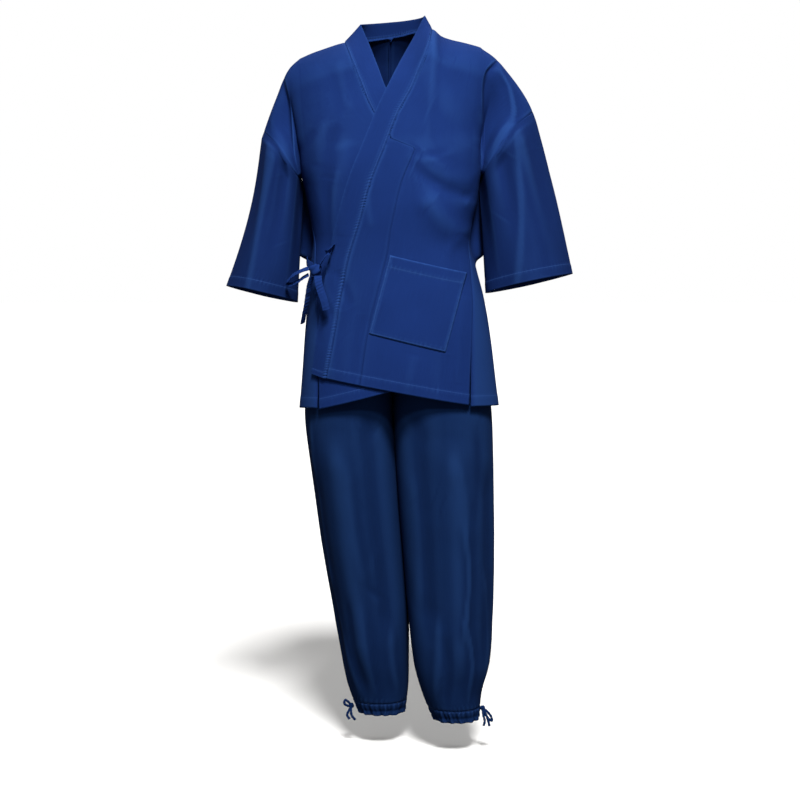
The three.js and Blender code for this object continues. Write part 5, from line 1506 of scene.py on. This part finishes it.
# The flat cuts that aren't one rectangle for both sides: areas in square metres and sizes in
# millimetres.
FRONT_AREA = {"left": 0.172, "right": 0.156}
STRIP_AREA = {"left": 0.037, "right": 0.033}
SLEEVE_CUT = {"left": (440, 370), "right": (400, 350)}
INSIDE_TOP = -90.0  # the highest place that is inside the body at the shoulders


def body_inside(points):
    """A place inside the body for each point of a cloth."""
    inside = points * 0 + [NECK_CENTRE, 0, 0]
    inside[..., 2] = np.minimum(points[..., 2], INSIDE_TOP)
    return inside


# ---- Operators -------------------------------------------------------------------------------


class SAMUE_OT_body(bpy.types.Operator):
    """Build the jacket's back halves, front panels and narrow strips"""

    bl_idname = "samue.body"
    bl_label = "Jacket body"

    def execute(self, context):
        cloth = cloth_settings(jacket_material(), "jacket_cloth")
        # the back's darker tone is painted shade
        back = dict(cloth, material=jacket_material("back"))
        sewn = {"inner": SEAM, "outer": SEAM, "top": SEAM, "bottom": TURNED_HEM}
        for i, side in enumerate(WAY):
            points = back_points(side)
            add_cloth(
                f"jacket_back_{side}", points, body_inside(points), nodes=[f"back_{side}"],
                flat=(330, 840), edges=sewn, seed=1 + i,
                tucked=("top", "inner") if side == "left" else ("top",), **back)
            points = front_points(side)
            beside_strip = np.arange(len(points))[:, None] > strip_start(side) + 3
            inner = dict(COLLAR_SEAM_BODY, part=np.where(beside_strip, 0.2, 1.0))
            add_cloth(
                f"jacket_front_{side}", points, body_inside(points), nodes=[f"front_{side}"],
                flat=(290, 780), area=FRONT_AREA[side], edges=dict(sewn, inner=inner),
                seed=4 + i, tucked=("outer",), **cloth)
            points = strip_points(side)
            add_cloth(
                f"jacket_strip_{side}", points, body_inside(points), nodes=[f"strip_{side}"],
                flat=(80, 560), area=STRIP_AREA[side], seed=7 + i, tucked=("outer",),
                edges={"inner": COLLAR_SEAM_BODY, "outer": STRIP_SEAM, "bottom": TURNED_HEM},
                **cloth)
        return {"FINISHED"}


class SAMUE_OT_collar(bpy.types.Operator):
    """Build the two halves of the jacket's collar band"""

    bl_idname = "samue.collar"
    bl_label = "Collar"

    def execute(self, context):
        cloth = cloth_settings(jacket_material(), "collar_cloth")
        cloth["wall"] = settings()[0].collar / MM
        for i, side in enumerate(WAY):
            points = finer(collar_points(side), COLLAR_TIMES)
            add_cloth(
                f"jacket_collar_{side}", points, body_inside(points),
                nodes=[f"collar_{side}"], flat=(48, 880), seed=11 + i, bevel=0.8,
                edges={"inner": COLLAR_SEAM, "outer": COLLAR_EDGE, "bottom": SLIT_HEM},
                out=COLLAR_OUT, tucked=("inner",), **cloth)
        return {"FINISHED"}


class SAMUE_OT_sleeves(bpy.types.Operator):
    """Build the two open sleeves"""

    bl_idname = "samue.sleeves"
    bl_label = "Sleeves"

    def execute(self, context):
        # the sleeves' darker tone is painted shade
        cloth = cloth_settings(jacket_material("sleeve"), "jacket_cloth")
        cloth["crumple"] = 0.0
        for i, side in enumerate(WAY):
            points, share, place = sleeve_points(side)
            creases = line_creases(SLEEVE_CREASES, (WAY[side],), share, place)
            add_cloth(
                f"jacket_sleeve_{side}", points, sleeve_inside(side, points),
                nodes=[f"sleeve_{side}"], flat=SLEEVE_CUT[side], closed=True,
                edges={"top": SEAM, "bottom": TURNED_HEM}, seed=14 + i, tucked=("top",),
                extra=creases * smooth(share, 0, 0.05), **cloth)
        return {"FINISHED"}


class SAMUE_OT_pocket(bpy.types.Operator):
    """Build the pocket on the left front"""

    bl_idname = "samue.pocket"
    bl_label = "Pocket"

    def execute(self, context):
        points = pocket_points()
        edges = dict.fromkeys(("inner", "outer", "bottom"), POCKET_EDGE)
        add_cloth(
            "jacket_pocket", points, body_inside(points), jacket_material(), "jacket_cloth",
            ["pocket"], flat=(162, 166), held="laid", rests_on=["jacket_front_left"],
            edges=dict(edges, top=POCKET_HEM), seed=17, wall=1.0, out=1.0, crumple=0.3)
        return {"FINISHED"}


class SAMUE_OT_ties(bpy.types.Operator):
    """Build the tie at the right side: two straps, a knot, a loop and two ends"""

    bl_idname = "samue.ties"
    bl_label = "Ties"

    def execute(self, context):
        for i, (part, tie) in enumerate(TIES.items()):
            mesh, path = tape_mesh(
                f"jacket_tie_{part}", tie["points"], tie["width"], tie["sideways"], seed=i)
            piece = add_piece(mesh.name, mesh, jacket_material(), "tie_tape", [f"tie_{part}"])
        knot = wrapped_knot("jacket_tie_knot", **KNOT, seed=1)
        add_piece(knot.name, knot, jacket_material(), "tie_tape", ["tie_knot"])
        return {"FINISHED"}


class SAMUE_OT_trousers(bpy.types.Operator):
    """Build the trousers' legs and their waist and ankle casings"""

    bl_idname = "samue.trousers"
    bl_label = "Trousers"

    def execute(self, context):
        cloth = cloth_settings(trouser_material(), "trouser_cloth")
        casing = {"top": CASING_EDGE, "bottom": CASING_EDGE}
        points = waist_points()
        inside = points * [0, 0, 1] + [TROUSER_CENTRE, 0, 0]
        add_cloth(
            "trouser_waist_casing", points, inside, nodes=["waist_casing"], flat=(860, 32),
            held="gathered", closed=True, edges=casing, seed=21, **cloth)
        for i, leg in enumerate(LEG):
            for j, (part, face) in enumerate((("front", FRONT), ("back", BACK))):
                points = leg_points(leg, face)
                add_cloth(
                    f"trouser_{part}_{leg}", points, leg_middle(leg, points[..., 2]),
                    nodes=[f"leg_{part}_{leg}"], flat=(330, 940),
                    rests_on=["trouser_waist_casing"], seed=23 + 2 * i + j,
                    edges={"inner": SEAM, "outer": SEAM, "top": SEAM, "bottom": CASING_EDGE},
                    tucked=("inner", "outer", "top") if face == BACK else ("top",), **cloth)
            points = ankle_points(leg)
            add_cloth(
                f"trouser_ankle_{leg}", points, leg_middle(leg, points[..., 2]),
                nodes=[f"ankle_casing_{leg}"], flat=(420, 28), held="gathered", closed=True,
                edges=casing, seed=31 + i, **cloth)
        return {"FINISHED"}


class SAMUE_OT_bows(bpy.types.Operator):
    """Build the small cord bows at the ankles"""

    bl_idname = "samue.bows"
    bl_label = "Ankle bows"

    def execute(self, context):
        radius = settings()[0].cord / MM / 2
        for side, bow in BOWS.items():
            look = (trouser_material(), "ankle_cord", [f"ankle_bow_{side}"])
            knot = wrapped_knot(f"trouser_bow_knot_{side}", bow["knot"], **BOW_KNOT)
            add_piece(knot.name, knot, *look)
            loop, _ = cord_mesh(f"trouser_bow_loop_{side}", bow["loop"], radius)
            add_piece(loop.name, loop, *look)
            for i, points in enumerate(bow["ends"]):
                mesh, path = cord_mesh(f"trouser_bow_end_{i + 1}_{side}", points, radius, seed=i)
                piece = add_piece(mesh.name, mesh, *look)
        return {"FINISHED"}


# The studio, in metres. Each light's kind, place, aim, power and softness.
FLOOR_HALF = 14.0
MIDDLE = (0.0, 0.0, -0.7)
SOFT_SPOT = dict(spot_size=np.radians(11.5), spot_blend=1.0, shadow_soft_size=0.25)
LIGHTS = {
    "key": ("SUN", (0.35, -2.3, 2.6), MIDDLE, 4.0, dict(angle=np.radians(12))),
    "back": ("SUN", (0.3, 2.4, 2.4), MIDDLE, 1.2, dict(angle=np.radians(40))),
    "chest": ("SPOT", (0.3, -2.6, 2.0), (0.06, 0.0, -0.18), 310, SOFT_SPOT),
    "skirt": ("SPOT", (0.1, -2.6, 1.6), (0.0, 0.0, -0.6), 260, SOFT_SPOT),
}
GLOW = 0.15  # the room's light on the samue; its walls are white to the camera
CAMERA_AT, CAMERA_AIM = (0.0, -4.0, -0.278), (0.0, 0.0, -0.745)
CAMERA = dict(sensor_width=36.0, lens=87.07, clip_end=60.0)  # millimetres, and metres of sight


def add_aimed(name, data, place, aim):
    """Puts a light or camera at a place, looking at another."""
    made = bpy.data.objects.new(name, data)
    made.location = place
    made.rotation_euler = (Vector(aim) - Vector(place)).to_track_quat("-Z", "Y").to_euler()
    bpy.context.scene.collection.objects.link(made)
    return made


def add_floor(colour):
    """A level square of paper under the samue."""
    mesh = bpy.data.meshes.new("floor")
    corners = [(-1, -1), (1, -1), (1, 1), (-1, 1)]
    mesh.from_pydata(
        [(x * FLOOR_HALF, y * FLOOR_HALF, FLOOR * MM) for x, y in corners], [], [(0, 1, 2, 3)])
    mesh.materials.append(studio_paper(colour))
    ground = bpy.data.objects.new("floor", mesh)
    bpy.context.scene.collection.objects.link(ground)


def add_room():
    """White walls to the camera, and a faint even glow to everything else."""
    world = bpy.data.worlds.new("studio")
    world.use_nodes = True
    new = partial(add_node, world.node_tree)
    world.node_tree.nodes.clear()
    glow, seen = (
        new("Background", {"Color": (1.0, 1.0, 1.0, 1.0), "Strength": strength})
        for strength in (GLOW, 1.0))
    camera_ray = new("LightPath").outputs["Is Camera Ray"]
    new("OutputWorld", {"Surface": new("MixShader", [camera_ray, glow, seen])})
    bpy.context.scene.world = world


class SAMUE_OT_stage(bpy.types.Operator):
    """Set up the floor, the studio light and the camera"""

    bl_idname = "samue.stage"
    bl_label = "Stage"

    def execute(self, context):
        add_floor(linear(settings()[1].floor))
        add_room()
        for name, (kind, place, aim, power, shape) in LIGHTS.items():
            data = bpy.data.lights.new(name, kind)
            for key, value in dict(shape, energy=power).items():
                setattr(data, key, value)
            add_aimed(name, data, place, aim)
        camera = bpy.data.cameras.new("camera")
        for key, value in CAMERA.items():
            setattr(camera, key, value)
        context.scene.camera = add_aimed("camera", camera, CAMERA_AT, CAMERA_AIM)
        context.scene.view_settings.view_transform = "Standard"
        return {"FINISHED"}


class SAMUE_PT_panel(bpy.types.Panel):
    """Lists the samue's pieces"""

    bl_idname = "SAMUE_PT_panel"
    bl_label = "Samue"
    bl_space_type = "VIEW_3D"
    bl_region_type = "UI"
    bl_category = "Samue"

    def draw(self, context):
        for group in (context.scene.samue_sizes, context.scene.samue_colours):
            for name in group.__annotations__:
                self.layout.prop(group, name)
        for operator in OPERATORS:
            self.layout.operator(operator.bl_idname)


OPERATORS = (
    SAMUE_OT_stage, SAMUE_OT_bows, SAMUE_OT_body, SAMUE_OT_collar, SAMUE_OT_sleeves,
    SAMUE_OT_pocket, SAMUE_OT_ties, SAMUE_OT_trousers,
)
CLASSES = (SamueSizes, SamueColours, *OPERATORS, SAMUE_PT_panel)


def register():
    """Registers the classes and the scene's settings."""
    for item in CLASSES:
        bpy.utils.register_class(item)
    bpy.types.Scene.samue_sizes = bpy.props.PointerProperty(type=SamueSizes)
    bpy.types.Scene.samue_colours = bpy.props.PointerProperty(type=SamueColours)


def unregister():
    """Takes the classes and the settings away again."""
    del bpy.types.Scene.samue_colours
    del bpy.types.Scene.samue_sizes
    for item in reversed(CLASSES):
        bpy.utils.unregister_class(item)


def main():
    """Builds everything in order."""
    register()
    bpy.ops.samue.stage()
    bpy.ops.samue.bows()
    bpy.ops.samue.body()
    bpy.ops.samue.collar()
    bpy.ops.samue.sleeves()
    bpy.ops.samue.pocket()
    bpy.ops.samue.ties()
    bpy.ops.samue.trousers()


if __name__ == "__main__":
    main()
